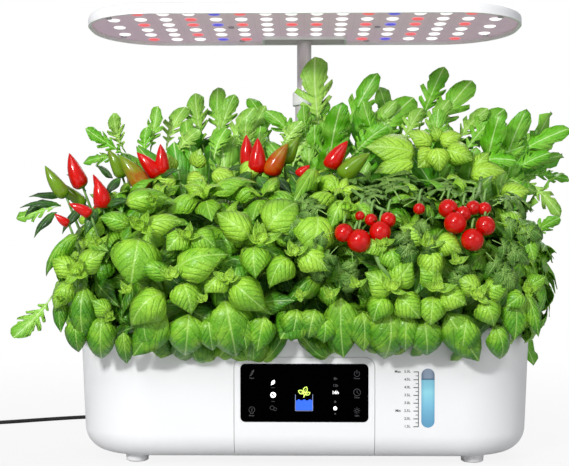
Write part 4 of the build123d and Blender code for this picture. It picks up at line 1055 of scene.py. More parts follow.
# Tomato leaves in view: base and tip in pixels, and the lift off the basil
TOMATO_LEAVES = [
    (330, 216, 298, 196, 0.006), (334, 232, 302, 240, 0.008), (338, 246, 316, 268, 0.010),
    (350, 200, 330, 176, 0.0), (352, 252, 356, 282, 0.009), (400, 200, 384, 172, 0.0),
    (404, 206, 436, 184, 0.004), (400, 224, 412, 252, 0.012), (432, 216, 408, 232, 0.012),
    (440, 200, 452, 174, 0.0), (470, 200, 484, 172, 0.0), (492, 206, 522, 188, 0.002),
    (492, 240, 520, 252, 0.010), (486, 252, 510, 276, 0.011), (466, 256, 456, 282, 0.010),
    (380, 204, 366, 184, 0.002), (496, 222, 528, 228, 0.008), (318, 206, 296, 222, 0.007),
    (430, 236, 424, 262, 0.010),
]


def grow_peppers(bed):
    """The peppers' dark leaves in view."""
    for bx, by, tx, ty, wide, depth in PEPPER_LEAVES:
        base, tip = in_view(bx, by, depth), in_view(tx, ty, depth - 0.012)
        face = Vector((bed.rng.uniform(-0.4, 0.4), -0.8, 0.8))
        plant = nearest(PLANTS["pepper"], base.x)
        bed.scatter(plant, base, tip, face, across(wide, base.y), (0, 1), (0.1, 0.5))


def grow_tomatoes(bed):
    """The tomato's leaves in view, each 1.45 times as long as its place in the list."""
    for bx, by, tx, ty, lift in TOMATO_LEAVES:
        base, tip = on_basil(bx, by, lift + 0.007), on_basil(tx, ty, lift + 0.011)
        tip = base + (tip - base) * 1.45
        face = Vector((bed.rng.uniform(-0.3, 0.3), -1.0, 0.5))
        bed.scatter(4, base, tip, face, (tip - base).length * 1.05, (0, 1), (0.15, 0.65))


MOUNDS = [  # kind, plant, top, number of leaves, widths by length, lengths, shapes and shades
    ("pepper", 0, 0.27, 230, (0.36, 0.46), (0.035, 0.06), (0, 1), (0.05, 0.55)),
    ("pepper", 2, 0.285, 150, (0.36, 0.46), (0.035, 0.06), (0, 1), (0.05, 0.55)),
    ("tomato", 4, 0.27, 60, (0.9, 1.1), (0.05, 0.08), (0, 1), (0.1, 0.6)),
    ("arugula", 1, 0.25, 70, (0.32, 0.45), (0.06, 0.10), (1, 2), (0.2, 0.7)),
    ("arugula", 3, 0.25, 70, (0.32, 0.45), (0.06, 0.10), (1, 2), (0.2, 0.7)),
    ("arugula", 5, 0.25, 130, (0.32, 0.45), (0.06, 0.10), (1, 2), (0.2, 0.7)),
]


def grow_mound(bed, plant, top, count, widths, lengths, kinds, shades):
    """A mound of leaves at a back pod, which hangs over the deck's back edge and meets its neighbours."""
    outer = {0: 0.066, 5: 0.08}
    for number in range(count):
        turn = math.pi * (number * GOLDEN_TURN * 2 % 2) + bed.rng.uniform(-0.2, 0.2)
        level = ((number * GOLDEN_STEP) % 1.0) ** 1.35
        out = Vector((math.cos(turn) * 0.75, math.sin(turn), 0))
        far = math.sin(math.pi * min(0.25 + 0.6 * level, 0.92))
        half_x = outer.get(plant, 0.05) if out.x * POD_X[plant] > 0 else 0.05
        z = 0.128 + (top - 0.128) * level
        at = Vector((POD_X[plant] + out.x * half_x * far, 0.066 + out.y * 0.062 * far, z))
        if at.y < -0.03:
            continue
        length = bed.rng.uniform(*lengths)
        swing_x, swing_y = bed.rng.uniform(-0.45, 0.45), bed.rng.uniform(-0.45, 0.45)
        swing = Vector((swing_x, swing_y, 1.1 * (level - 0.42) + bed.rng.uniform(-0.2, 0.2)))
        tip = at + (out + swing).normalized() * length
        tip.y = min(tip.y, bed.rng.uniform(0.132, 0.148))
        tip.x = max(min(tip.x, bed.rng.uniform(0.230, 0.255)), -bed.rng.uniform(0.205, 0.235))
        tip.z = max(tip.z, bed.rng.uniform(0.106, 0.135))
        if abs(tip.x) > 0.205 and tip.z < 0.15:
            continue
        width = (tip - at).length * bed.rng.uniform(*widths)
        bed.scatter(plant, at, tip, out * 0.8 + Vector((0, 0, 1)), width, kinds, shades)


# ---- Stems and fruit ----


def tube(points, radii, sides=6):
    """The points and faces of a closed stem along points, with a radius at each."""
    found, faces = [], []
    normal = None
    for number, (at, radius) in enumerate(zip(points, radii)):
        before, after = points[max(number - 1, 0)], points[min(number + 1, len(points) - 1)]
        along = (after - before).normalized()
        normal = along.orthogonal() if normal is None else normal - along * normal.dot(along)
        normal.normalize()
        other = along.cross(normal)
        for side in range(sides):
            turn = 2 * math.pi * side / sides
            found.append(at + (normal * math.cos(turn) + other * math.sin(turn)) * radius)
        if number:
            a, b = (number - 1) * sides, number * sides
            for side in range(sides):
                on = (side + 1) % sides
                faces.append((a + side, a + on, b + on, b + side))
    faces.append(tuple(reversed(range(sides))))
    faces.append(tuple(range((len(points) - 1) * sides, len(points) * sides)))
    return found, faces


def bowed(start, end, bow, count=6):
    """Points from start to end that bow towards a vector in the middle."""
    shares = [number / (count - 1) for number in range(count)]
    return [start.lerp(end, share) + bow * math.sin(math.pi * share) for share in shares]


def stem_finish(name, low, high):
    """A ribbed green stem."""
    finish = Finish(name)
    streaks = finish.noise(420.0, stretch=(1, 1, 0.1))
    finish.set("Base Color", finish.blend(streaks, tint(low), tint(high)))
    finish.set("Roughness", streaks * 0.15 + 0.4)
    finish.relief(streaks, 0.0003)
    return finish.material


# Peppers: tip, stalk end, half width in pixels, depth, ripeness (0 green to 1 red)
PEPPERS = [
    (39, 169, 65, 196, 6.5, -0.07, 0.05), (62, 156, 82, 187, 7.5, -0.06, 1.0),
    (102, 178, 102, 208, 8.0, -0.09, 1.0), (70, 200, 90, 215, 5.0, -0.12, 1.0),
    (52, 217, 68, 224, 4.0, -0.12, 0.8), (112, 147, 122, 177, 6.5, -0.05, 0.0),
    (124, 151, 144, 190, 8.5, -0.06, 0.45), (141, 149, 157, 177, 7.0, -0.05, 1.0),
    (165, 144, 161, 174, 6.5, -0.05, 1.0), (240, 136, 250, 168, 7.0, -0.04, 1.0),
    (264, 139, 255, 173, 8.0, -0.05, 1.0), (281, 140, 270, 176, 8.5, -0.05, 0.5),
    (293, 134, 285, 163, 7.0, -0.04, 0.05), (305, 163, 300, 176, 5.5, -0.072, 1.0),
    (341, 138, 330, 169, 8.0, -0.058, 1.0), (364, 148, 342, 178, 8.5, -0.066, 0.1),
    (56, 186, 84, 204, 5.5, -0.05, 0.0), (130, 160, 134, 186, 6.0, -0.03, 0.2),
]
# Peppers behind: stalk end in metres and ripeness
BACK_PEPPERS = [
    (-0.17, 0.11, 0.25, 1.0), (-0.20, 0.06, 0.235, 0.9), (-0.13, 0.12, 0.26, 0.1),
    (-0.03, 0.11, 0.27, 1.0), (-0.045, 0.12, 0.26, 0.6), (-0.215, 0.09, 0.21, 1.0),
]
# Tomatoes: centre and radius in pixels, ripeness
TOMATOES = [
    (344, 233, 9.6, 1.0), (359, 241, 12, 1.0), (380, 232, 11, 1.0), (388, 220, 8, 0.95), (360, 216, 5, 0.9),
    (419, 209, 6, 0.8), (448, 209, 10, 1.0), (455, 223, 11.5, 1.0), (472, 240, 11.5, 1.0),
    (485, 226, 10, 1.0), (473, 208, 7.5, 0.95), (484, 209, 7, 0.95), (463, 214, 8, 1.0),
    (371, 220, 6.5, 0.9),
]
# Tomatoes behind: centre in metres
BACK_TOMATOES = [
    (0.08, 0.125, 0.215), (0.10, 0.13, 0.205), (0.092, 0.132, 0.225), (0.105, 0.128, 0.19),
    (0.07, 0.128, 0.2),
]
# Shoots that carry the trusses: points in pixels and radius
TRUSS_STEMS = [
    ([(453, 226), (449, 240), (440, 256), (430, 276)], 0.0022),
    ([(371, 232), (372, 246), (380, 265), (392, 280)], 0.0022),
    ([(481, 178), (478, 194), (466, 206), (456, 214)], 0.0018),
    ([(366, 200), (362, 212), (356, 226), (352, 236)], 0.0015),
    ([(388, 212), (378, 208), (366, 200), (352, 190)], 0.0015),
]
PEPPER_PROFILE = [
    (0, -0.14), (0.05, -0.14), (0.05, -0.02), (0.26, 0.0), (0.40, 0.05), (0.5, 0.14),
    (0.5, 0.3), (0.44, 0.5), (0.34, 0.68), (0.2, 0.84), (0.09, 0.94), (0, 1.0),
]
TOMATO_PROFILE = [
    (0, -0.49), (0.08, -0.49), (0.24, -0.45), (0.4, -0.33), (0.49, -0.14), (0.5, 0.05),
    (0.44, 0.27), (0.3, 0.43), (0.16, 0.47), (0.06, 0.43), (0, 0.44),
]


def pepper_shape(name, bend):
    """A chilli along +Y: stalk, green cap and tapering pod."""
    mesh = lathe(name, PEPPER_PROFILE, 12)
    for vertex in mesh.vertices:
        x, y, z = vertex.co
        vertex.co = (x + bend * z * z, z, -y)
    for loop in mesh.loops:
        mesh.uv_layers[0].data[loop.index].uv = (0.5, mesh.vertices[loop.vertex_index].co.y)
    return mesh


def tomato_shape():
    """A ripe tomato of unit diameter with a shallow dimple at its stalk, along +Y."""
    mesh = lathe("tomato", TOMATO_PROFILE, 14)
    for vertex in mesh.vertices:
        x, y, z = vertex.co
        vertex.co = (x, z, -y)
    return mesh


def calyx_shape():
    """Five narrow sepals and a stub of stalk, on the tomato's top."""
    sepal = leaf_mesh("sepal", outline_rows(PEPPER_WIDTHS, 4), 0.05, -0.35, 0.0, fields=1)
    parts = []
    for number in range(5):
        place = Matrix.Rotation(2 * math.pi * number / 5, 4, "Y") @ Matrix.Translation((0, 0.45, 0))
        place = place @ Matrix.Rotation(math.radians(-100 + 12 * (number % 2)), 4, "Z")
        place = place @ Matrix.Rotation(math.pi / 2, 4, "Y")
        parts.append((sepal, place @ Matrix.Diagonal((0.16, 0.52, 0.3, 1))))
    route = [Vector((0, 0.42, 0)), Vector((0.02, 0.62, 0.02)), Vector((0.1, 0.8, 0.0))]
    found, faces = tube(route, [0.05, 0.04, 0.035], 5)
    parts.append((mesh_of("stub", found, faces, [(0.5, 0.5)] * len(found)), Matrix.Identity(4)))
    return joined("calyx", parts)


def fruit_finish(name, green, red):
    """A glossy skin that ripens from green to red, the tip first, with a green cap."""
    finish = Finish(name, coat_weight=0.8, coat_roughness=0.16, specular_ior_level=0.05)
    _, v, _ = finish.uv()
    ripe = finish.shade()
    mottle = finish.noise(130.0)
    redness = (ripe * 2.0 - 0.5 - v * 0.5 * (1.0 - ripe) + mottle * 0.25).step(0.2, 0.7)
    body = finish.blend(redness, tint(green), tint(red))
    body = finish.blend(mottle.step(0.4, 0.8) * 0.3, body, tint("#6a0402"))
    finish.set("Base Color", finish.blend(v.step(0.015, 0.05, 1.0, 0.0), body, tint("#4c7a28")))
    finish.set("Roughness", mottle * 0.1 + 0.22)
    finish.relief(finish.noise(300.0), 0.00012)
    return finish.material


def grow_chillies(tree, rng):
    """The peppers' fruit, in view and behind."""
    places = []

    def add(base, tip, face, width, length, ripe):
        size = Vector((width, length, width))
        places.append((base, stand(base, tip, face), size, rng.choice((0, 1)), ripe))

    for tx, ty, bx, by, half, depth, ripe in PEPPERS:
        base, tip = in_view(bx, by, depth), in_view(tx, ty, depth - 0.004)
        add(base, tip, Vector((0, -1, 0.2)), across(2.3 * half, depth), (tip - base).length, ripe)
    for x, y, z, ripe in BACK_PEPPERS:
        base = Vector((x, y, z))
        tip = base + Vector((rng.uniform(-0.008, 0.008), rng.uniform(-0.004, 0.010), 0.028))
        add(base, tip, Vector((0, 1, 0)), 0.011, 0.029, ripe)
    pods = shelf("pepper_pods", [pepper_shape("pepper_left", -0.35), pepper_shape("pepper_right", 0.4)])
    mesh = spread("pepper_fruit", tree, pods, places, fruit_finish("pepper_skin", "#6c9618", "#d20a00"))
    piece("pepper_fruit", mesh, "garden")


def tomato_spots():
    """Centre, size and ripeness of each tomato."""
    front, back_size = -0.135, 0.018
    spots = [(on_basil(px, py, 0.010), across(2 * radius, front), ripe) for px, py, radius, ripe in TOMATOES]
    return spots + [(Vector(at), back_size, 1.0) for at in BACK_TOMATOES]


def grow_tomato_fruit(tree, rng):
    """The tomatoes and their calyces."""
    places, caps = [], []
    for at, size, ripe in tomato_spots():
        up = Vector((rng.uniform(-0.35, 0.35), 0.5 if at.y < 0 else -0.5, 1.0)).normalized()
        turn = stand(at, at + up, Vector((rng.uniform(-1, 1), -1, 0)))
        places.append((at, turn, Vector((size, size * 0.94, size)), 0, ripe))
        caps.append((at, turn, Vector((size, size, size)), 0, 0.5))
    balls = shelf("tomato_balls", [tomato_shape()])
    mesh = spread("tomato_fruit", tree, balls, places, fruit_finish("tomato_skin", "#8a7a1c", "#cc0800"))
    piece("tomato_fruit", mesh, "garden")
    green = stem_finish("calyx_green", "#3a661a", "#6a9436")
    mesh = spread("tomato_calyces", tree, shelf("tomato_caps", [calyx_shape()]), caps, green)
    piece("tomato_calyces", mesh, "garden")


def grow_stems(rng):
    """Stems from the pods to the shoots, the peppers and the trusses, as one mesh."""
    stems = []
    for column, x in enumerate(POD_X):
        outer = math.copysign(0.06 if column in (0, 5) else 0.018, x)
        for y, forward, top_z in ((POD_Y[0], -0.062, 0.215), (POD_Y[1], 0.055, 0.235)):
            for _ in range(7):
                side = outer * rng.uniform(-0.3, 1.0)
                top = Vector((x + side, y + forward * rng.uniform(0.1, 1.0), rng.uniform(0.17, top_z)))
                start = Vector((x + rng.uniform(-0.008, 0.008), y + rng.uniform(-0.008, 0.008), 0.116))
                radii = [0.0022, 0.0020, 0.0019, 0.0017, 0.0014, 0.0010]
                stems.append((bowed(start, top, Vector((0, 0, 0.012))), radii))
    for _, _, bx, by, _, depth, _ in PEPPERS:
        end = in_view(bx, by, depth)
        start = Vector((end.x * 0.94, end.y + 0.03, end.z - 0.045))
        radii = [0.0016 - 0.0001 * number for number in range(6)]
        stems.append((bowed(start, end, Vector((0, -0.004, 0.002))), radii))
    for at, size, _ in tomato_spots():
        back = 1 if at.y < 0 else -1
        hub = at + Vector((0.004, 0.012 * back, 0.016))
        top = at + Vector((0, 0.003 * back, size * 0.5))
        stems.append((bowed(hub, top, Vector((0, 0, 0.004))), [0.0011] * 6))
    for points, radius in TRUSS_STEMS:
        stems.append(([on_basil(px, py, 0.006) for px, py in points], [radius] * len(points)))
    points, faces = [], []
    for route, radii in stems:
        found, made = tube(route, radii)
        faces += [tuple(index + len(points) for index in face) for face in made]
        points += found
    green = stem_finish("stem_green", "#5b8a35", "#8fb765")
    piece("stems", mesh_of("stems", points, faces), "garden", [], [green])


# ---- Lead ----

RELIEF_END = 0.1311
LEAD_LIE = 0.00205
LEAD_ROUTE = [
    (0.0, 0.0, 0.028), (0.0, 0.012, 0.028), (-0.005, 0.027, 0.024), (-0.020, 0.041, 0.016),
    (-0.044, 0.051, 0.0075), (-0.076, 0.0585, 0.0029), (-0.116, 0.064, LEAD_LIE),
    (-0.160, 0.0685, LEAD_LIE), (-0.203, 0.069, LEAD_LIE), (-0.240, 0.063, LEAD_LIE),
    (-0.276, 0.0455, LEAD_LIE), (-0.312, 0.0245, LEAD_LIE), (-0.346, 0.0075, LEAD_LIE + 0.0002),
]
COIL = Vector((-0.365, 0.096, 0.0))
COIL_RADII = (0.027, 0.023, 0.019, 0.021, 0.025, 0.0255, 0.027)
COIL_HEIGHTS = (0.003, 0.003, 0.003, 0.0068, 0.0070, 0.0110, 0.0110)
COIL_POINTS = 14  # in one turn
TAIL_Y = (0.0905, 0.083, 0.076)  # from the coil to the adapter


def coil_route():
    """The coil's turns: three beside each other, then the next layer on top, and out at the top."""
    start, end = math.radians(121.0), math.radians(180.0)
    last = len(COIL_RADII) - 1
    turns = last + 1 + (end - start) / (2 * math.pi)
    steps = round(turns * COIL_POINTS)
    found = []
    for step in range(steps + 1):
        at = step / steps * turns
        low = min(int(at), last)
        high = min(low + 1, last)
        share = (at - low) ** 2 * (3 - 2 * (at - low)) if low < high else 0.0
        radius = COIL_RADII[low] + (COIL_RADII[high] - COIL_RADII[low]) * share
        height = COIL_HEIGHTS[low] + (COIL_HEIGHTS[high] - COIL_HEIGHTS[low]) * share
        angle = start + 2 * math.pi * at
        found.append(COIL + Vector((radius * math.cos(angle), radius * math.sin(angle), height)))
    return found


def lead_points():
    """The lead's route from the plug through the coil to the adapter."""
    route = [Vector((x, RELIEF_END + y, z)) for x, y, z in LEAD_ROUTE]
    tail = [Vector((COIL.x - COIL_RADII[0], y, COIL_HEIGHTS[-1])) for y in TAIL_Y]
    return route + coil_route() + tail


# ---- Printing and lit symbols on the front ----

DISPLAY_LEFT_PX, DISPLAY_TOP_PX = 225, 340  # where the display units start
UNITS_PER_PX = 7.293


class Ink:
    """Flat areas on the front, drawn in display units with x to the right and y down, 8.6 to a millimetre."""

    def __init__(self, lift):
        self.lift = lift
        self.points = []
        self.faces = []

    def at(self, x, y):
        seen = in_view(DISPLAY_LEFT_PX + x / UNITS_PER_PX, DISPLAY_TOP_PX + y / UNITS_PER_PX, FRONT_Y)
        return on_front(seen.x, seen.z, self.lift)

    def area(self, outline):
        turn = sum(a[0] * b[1] - b[0] * a[1] for a, b in zip(outline, outline[1:] + outline[:1]))
        outline = outline if turn < 0 else outline[::-1]
        start = len(self.points)
        self.points += [self.at(*point) for point in outline]
        self.faces.append(tuple(range(start, start + len(outline))))

    def disc(self, x, y, radius, sides=20):
        turns = [2 * math.pi * side / sides for side in range(sides)]
        self.area([(x + radius * math.cos(t), y + radius * math.sin(t)) for t in turns])

    def line(self, route, width, closed=False):
        """A stroke along a route, with its joints filled."""
        route = route + route[:1] if closed else route
        for (ax, ay), (bx, by) in zip(route, route[1:]):
            long = math.hypot(bx - ax, by - ay)
            dx, dy = (bx - ax) / long * width / 2, (by - ay) / long * width / 2
            self.area([(ax - dy, ay + dx), (bx - dy, by + dx), (bx + dy, by - dx), (ax + dy, ay - dx)])
            self.disc(bx, by, width / 2, 8)

    def arc(self, x, y, radius, start, end, width):
        turns = [math.radians(start + (end - start) * step / 20) for step in range(21)]
        self.line([(x + radius * math.cos(t), y + radius * math.sin(t)) for t in turns], width)

    def text(self, x, y, words, height, align="CENTER"):
        """Plain lettering; the font's capitals are 0.72 of its unit high."""
        curve = bpy.data.curves.new("lettering", "FONT")
        curve.body, curve.align_x, curve.align_y, curve.resolution_u = words, align, "CENTER", 2
        curve.offset = 0.018
        mesh = baked(linked("lettering", curve))
        scale = height / 0.72
        for polygon in mesh.polygons:
            corners = [mesh.vertices[index].co for index in polygon.vertices]
            self.area([(x + c.x * scale, y - c.y * scale) for c in corners])
        bpy.data.meshes.remove(mesh)

    def place(self, name, slot, material):
        piece(name, mesh_of(name, self.points, self.faces), "garden", [], [material])


def leaf_outline(x, y, length, width, turn):
    """A pointed leaf's outline from its stalk at x, y."""
    side = [(0.25, 0.36), (0.55, 0.5), (0.82, 0.3)]
    sides = [(0, 0), *side, (1, 0), *((u, -v) for u, v in reversed(side))]
    c, s = math.cos(math.radians(turn)), math.sin(math.radians(turn))
    return [(x + u * length * c - v * width * s, y + u * length * s + v * width * c) for u, v in sides]


def dim_symbols(ink):
    """The unlit symbols: feeding, lamp, power, timer and brightness, with their captions."""
    left, right, hours = 195, 961, 805
    for step in range(3):
        ink.area(leaf_outline(182 + 5 * step, 262 - 10 * step, 34, 13, -52))
    ink.line([(179, 264), (206, 222)], 3)
    ink.arc(left, 508, 21, 125, 415, 4)
    ink.line([(184, 527), (186, 536), (204, 536), (206, 527)], 4)
    ink.line([(188, 500), (left, 510), (202, 500)], 3)
    ink.line([(left, 510), (left, 526)], 3)
    ink.arc(right, 244, 20, -55, 235, 4)
    ink.line([(right, 216), (right, 242)], 4.5)
    ink.arc(962, 380, 25, 0, 350, 4)
    ink.line([(962, 366), (962, 381), (972, 388)], 3.5)
    ink.arc(right, 514, 10, 0, 360, 4)
    for step in range(8):
        c, s = math.cos(math.pi * step / 4), math.sin(math.pi * step / 4)
        ink.line([(right + 16 * c, 514 + 16 * s), (right + 23 * c, 514 + 23 * s)], 3.5)
    for x, y, words, height in (
        (left, 278, "Feed", 12),
        (193, 551, "Mode", 12),
        (right, 278, "Power", 12),
        (962, 418, "Timer", 12),
        (right, 550, "Light", 12),
        (hours, 281, "8h", 19),
        (hours, 331, "12h", 19),
    ):
        ink.text(x, y, words, height)
    ink.arc(343, 494, 14, 0, 360, 4)
    ink.arc(365, 504, 11, 0, 360, 4)
    ink.line([(337, 347), (361, 347)], 3)
    ink.line([(338, 448), (362, 448)], 3)
    ink.disc(803, 449, 8, 12)
    ink.disc(803, 537, 6, 12)


def bright_symbols(ink):
    """The lit symbols: the growing stages, the chosen hours and the lamp's dot."""
    ink.area(leaf_outline(338, 327, 44, 26, -56))
    ink.line([(335, 329), (344, 318)], 4)
    ink.arc(351, 400, 16, 0, 360, 9)
    ink.line([(336, 416), (358, 394)], 5)
    ink.text(804, 382, "16h", 24)
    ink.disc(803, 497, 14)


def sprout_symbol(ink):
    """The sprout above the tank symbol: a stem and three outlined leaves."""
    ink.line([(574, 418), (577, 404), (573, 388)], 6)
    ink.line([(577, 404), (586, 396)], 5)
    leaves = ((573, 388, 42, 27, -152), (574, 386, 50, 30, -66), (584, 397, 38, 23, -22))
    for x, y, length, width, turn in leaves:
        ink.line(leaf_outline(x, y, length, width, turn), 6, closed=True)
        c, s = math.cos(math.radians(turn)), math.sin(math.radians(turn))
        ink.line([(x, y), (x + 0.55 * length * c, y + 0.55 * length * s)], 4)


def water_symbol(ink):
    """The water in the tank symbol, with waves on top."""
    waves = [(517 + 119 * step / 16, 437 + 5 * math.cos(step * 1.15)) for step in range(17)]
    ink.area([(517, 510), *waves, (636, 510)])


def tank_symbol(ink):
    """The tank symbol's outline, open at the top."""
    ink.line([(513, 397), (513, 515), (639, 515), (639, 397)], 3.5)


def scale_marks(ink):
    """The level scale beside the window, from 1.5 to 5.0 litres."""
    high, low = 230.0, 630.0
    pitch = (low - high) / 14
    ink.line([(1408, high), (1408, low)], 5)
    for mark in range(15):
        y = high + pitch * mark
        full = mark % 2 == 0
        ink.line([(1372 if full else 1388, y), (1408, y)], 6 if full else 4.5)
        if full:
            ink.text(1350, y - 2, f"{5.0 - mark / 4:.1f}L", 19, "RIGHT")
    ink.text(1280, high - 2, "Max", 19, "RIGHT")
    ink.text(1280, high + pitch * 10 - 2, "Min", 19, "RIGHT")


SYMBOLS = (  # name, drawing, lift off the front, colour and strength
    # The unlit symbols' faint glow is painted light.
    ("dim", dim_symbols, 0.00012, "#3d3d40", 0.35),
    ("bright", bright_symbols, 0.00012, "#ffffff", 1.0),
    ("sprout", sprout_symbol, 0.00018, "#cfe86a", 0.95),
    ("water", water_symbol, 0.00012, "#2459ea", 0.85),
    ("tank", tank_symbol, 0.00015, "#7f8fb8", 0.6),
)


# ---- Panel, sizes and colours ----


class GARDEN_PG_sizes(bpy.types.PropertyGroup):
    lead_length: bpy.props.FloatProperty(
        name="Lead length",
        description="Length of the low-voltage lead",
        default=1.5,
        min=0.5,
        subtype="DISTANCE",
    )
    lead_thickness: bpy.props.FloatProperty(
        name="Lead thickness",
        description="Diameter of the lead",
        default=0.004,
        min=0.002,
        subtype="DISTANCE",
    )


class GARDEN_PG_colours(bpy.types.PropertyGroup):
    floor: bpy.props.FloatVectorProperty(
        name="Floor",
        description="Colour of the table under the garden",
        default=(0.5, 0.5, 0.5),
        subtype="COLOR",
    )


WHITE = (1.0, 1.0, 1.0)
SKY_COLOUR = (0.93, 0.95, 1.0)
SKY_STRENGTH = 0.36
LAMPS = [  # name, place, aim, diameter in metres and watts
    ("key", (-0.85, -1.75, 0.95), (0.0, 0.0, 0.15), 0.22, 25.5),
    ("top", (-0.2, -1.5, 1.5), (0.0, 0.0, 0.15), 1.0, 10.0),
    ("fill", (1.5, -1.7, 0.45), (0.0, 0.0, 0.15), 1.6, 6.5),
    ("rim", (0.5, 1.6, 1.5), (0.0, 0.0, 0.2), 1.4, 18.0),
]


def floor_finish(colour):
    """The table: it takes shadows near the garden and is seen as plain white away from it."""
    finish = Finish("floor", colour, roughness=0.6)
    seen = finish.node("ShaderNodeLightPath", output="Is Camera Ray")
    x, y, _ = finish.parts(finish.place())
    away = (x * x + (y + 0.1) * (y + 0.1)) ** 0.5
    shown = seen * away.step(0.2, 1.2, 0.88, 1.0)
    glow = finish.node("ShaderNodeEmission", values={"Color": WHITE, "Strength": 1.0})
    mixed = finish.node("ShaderNodeMixShader", values=[shown, Signal(finish, finish.shader.outputs[0]), glow])
    finish.join(finish.tree.nodes["Material Output"].inputs["Surface"], mixed)
    return finish.material


def studio_world():
    """Soft light from all sides, seen by the camera as plain white."""
    world = bpy.data.worlds.new("studio")
    world.use_nodes = True
    sky = Nodes(world.node_tree)
    sky.tree.nodes.clear()
    rays = sky.node("ShaderNodeLightPath").socket.node.outputs
    lit = sky.node("ShaderNodeBackground", values={"Color": SKY_COLOUR, "Strength": SKY_STRENGTH})
    plain = sky.node("ShaderNodeBackground", values={"Color": WHITE, "Strength": 1.0})
    straight = [Signal(sky, rays[name]) for name in ("Is Camera Ray", "Is Transmission Ray")]
    clear = sky.node("ShaderNodeMath", {"operation": "MAXIMUM"}, straight)
    choose = sky.node("ShaderNodeMixShader", values=[clear, lit, plain])
    sky.join(sky.tree.nodes.new("ShaderNodeOutputWorld").inputs["Surface"], choose)
    return world


class GARDEN_OT_stage(bpy.types.Operator):
    """Sets up the floor, the soft light and the camera"""

    bl_idname = "garden.stage"
    bl_label = "Stage"

    def execute(self, context):
        scene = context.scene
        scene.view_settings.view_transform = "Standard"
        half = 6.0
        corners = [(-half, -half, 0), (half, -half, 0), (half, half, 0), (-half, half, 0)]
        floor = linked("floor", mesh_of("floor", corners, [(0, 1, 2, 3)]))
        floor.data.materials.append(floor_finish(tuple(scene.garden_colours.floor)))
        scene.world = studio_world()
        for name, at, towards, size, power in LAMPS:
            light = bpy.data.lights.new(name, "AREA")
            light.shape, light.size, light.energy = "DISK", size, power
            holder = linked(name, light)
            holder.location = at
            holder.rotation_euler = (Vector(towards) - Vector(at)).to_track_quat("-Z", "Y").to_euler()
        camera = bpy.data.cameras.new("camera")
        camera.sensor_width = 36.0
        camera.lens = FOCAL_PX / VIEW_SIZE[0] * camera.sensor_width
        camera.clip_start = 0.05
        scene.camera = linked("camera", camera)
        scene.camera.location = EYE
        yaw = math.atan((CENTRE_PX - VIEW_SIZE[0] / 2) / FOCAL_PX)
        pitch = math.atan((HORIZON_PX - VIEW_SIZE[1] / 2) / FOCAL_PX)
        scene.camera.rotation_euler = (math.pi / 2 + pitch, 0.0, yaw)
        return {"FINISHED"}


class GARDEN_OT_lead(bpy.types.Operator):
    """Lays the lead from its plug to the coil and the adapter"""

    bl_idname = "garden.lead"
    bl_label = "Lead"

    def execute(self, context):
        sizes = context.scene.garden_sizes
        curve = bpy.data.curves.new("lead", "CURVE")
        curve.dimensions = "3D"
        spline = curve.splines.new("NURBS")
        points = lead_points()
        spline.points.add(len(points) - 1)
        for point, at in zip(spline.points, points):
            point.co = (*at, 1.0)
        spline.order_u = 3
        spline.use_endpoint_u = True
        spline.resolution_u = 6
        curve.bevel_depth = sizes.lead_thickness / 2
        curve.bevel_resolution = 3
        curve.use_fill_caps = True
        lead = linked("lead", curve)
        curve.materials.append(lead_black())
        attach(lead, "garden")
        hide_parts("power_cord", "cord_coil")
        return {"FINISHED"}


class GARDEN_OT_housing(bpy.types.Operator):
    """Finishes the tank, its deck, its pods and the parts inside it"""

    bl_idname = "garden.housing"
    bl_label = "Housing"

    def execute(self, context):
        white = white_gloss()
        for node in ("housing", "control_cover", "grow_deck", "fill_lid", "mast_collar", "lamp_shell"):
            refined(node, white)
        dress("base_cover", white)
        dress("display_lens", lens_black())
        dress("level_window", level_window())
        steel = brushed("screw_steel", "#9a9a9c", "#c8c8ca", 0.3, along=None, scale=400.0)
        for node in ("base_screws", "control_board_screws", "fill_lid_pin", "lamp_screws", "pump_shaft"):
            dress(node, steel)
        dress("display_module", moulded("module_black", "#0c0c0d", 0.3))
        dress("control_board", circuit("board_green", "#11402a", "#2c6a45"))
        dress("foot_pads", moulded("pad_rubber", "#bdbdbb", 0.8, 0.0001, 1400.0))
        cup = moulded("cup_white", "#e6e6e3", 0.45)
        dress("net_cups", cup)
        dress("grow_sponges", sponge_foam())
        refined("mast_socket", cup)
        return {"FINISHED"}


class GARDEN_OT_display(bpy.types.Operator):
    """Puts the symbols on the display and the level scale beside the window"""

    bl_idname = "garden.display"
    bl_label = "Display and scale"

    def execute(self, context):
        for name, draw, lift, colour, strength in SYMBOLS:
            ink = Ink(lift)
            draw(ink)
            ink.place("display_" + name, "black_lens", glowing("symbol_" + name, colour, strength))
        scale = Ink(0.0001)
        scale_marks(scale)
        scale.place("level_scale", "white_shell", printed("scale_black", "#222224"))
        return {"FINISHED"}


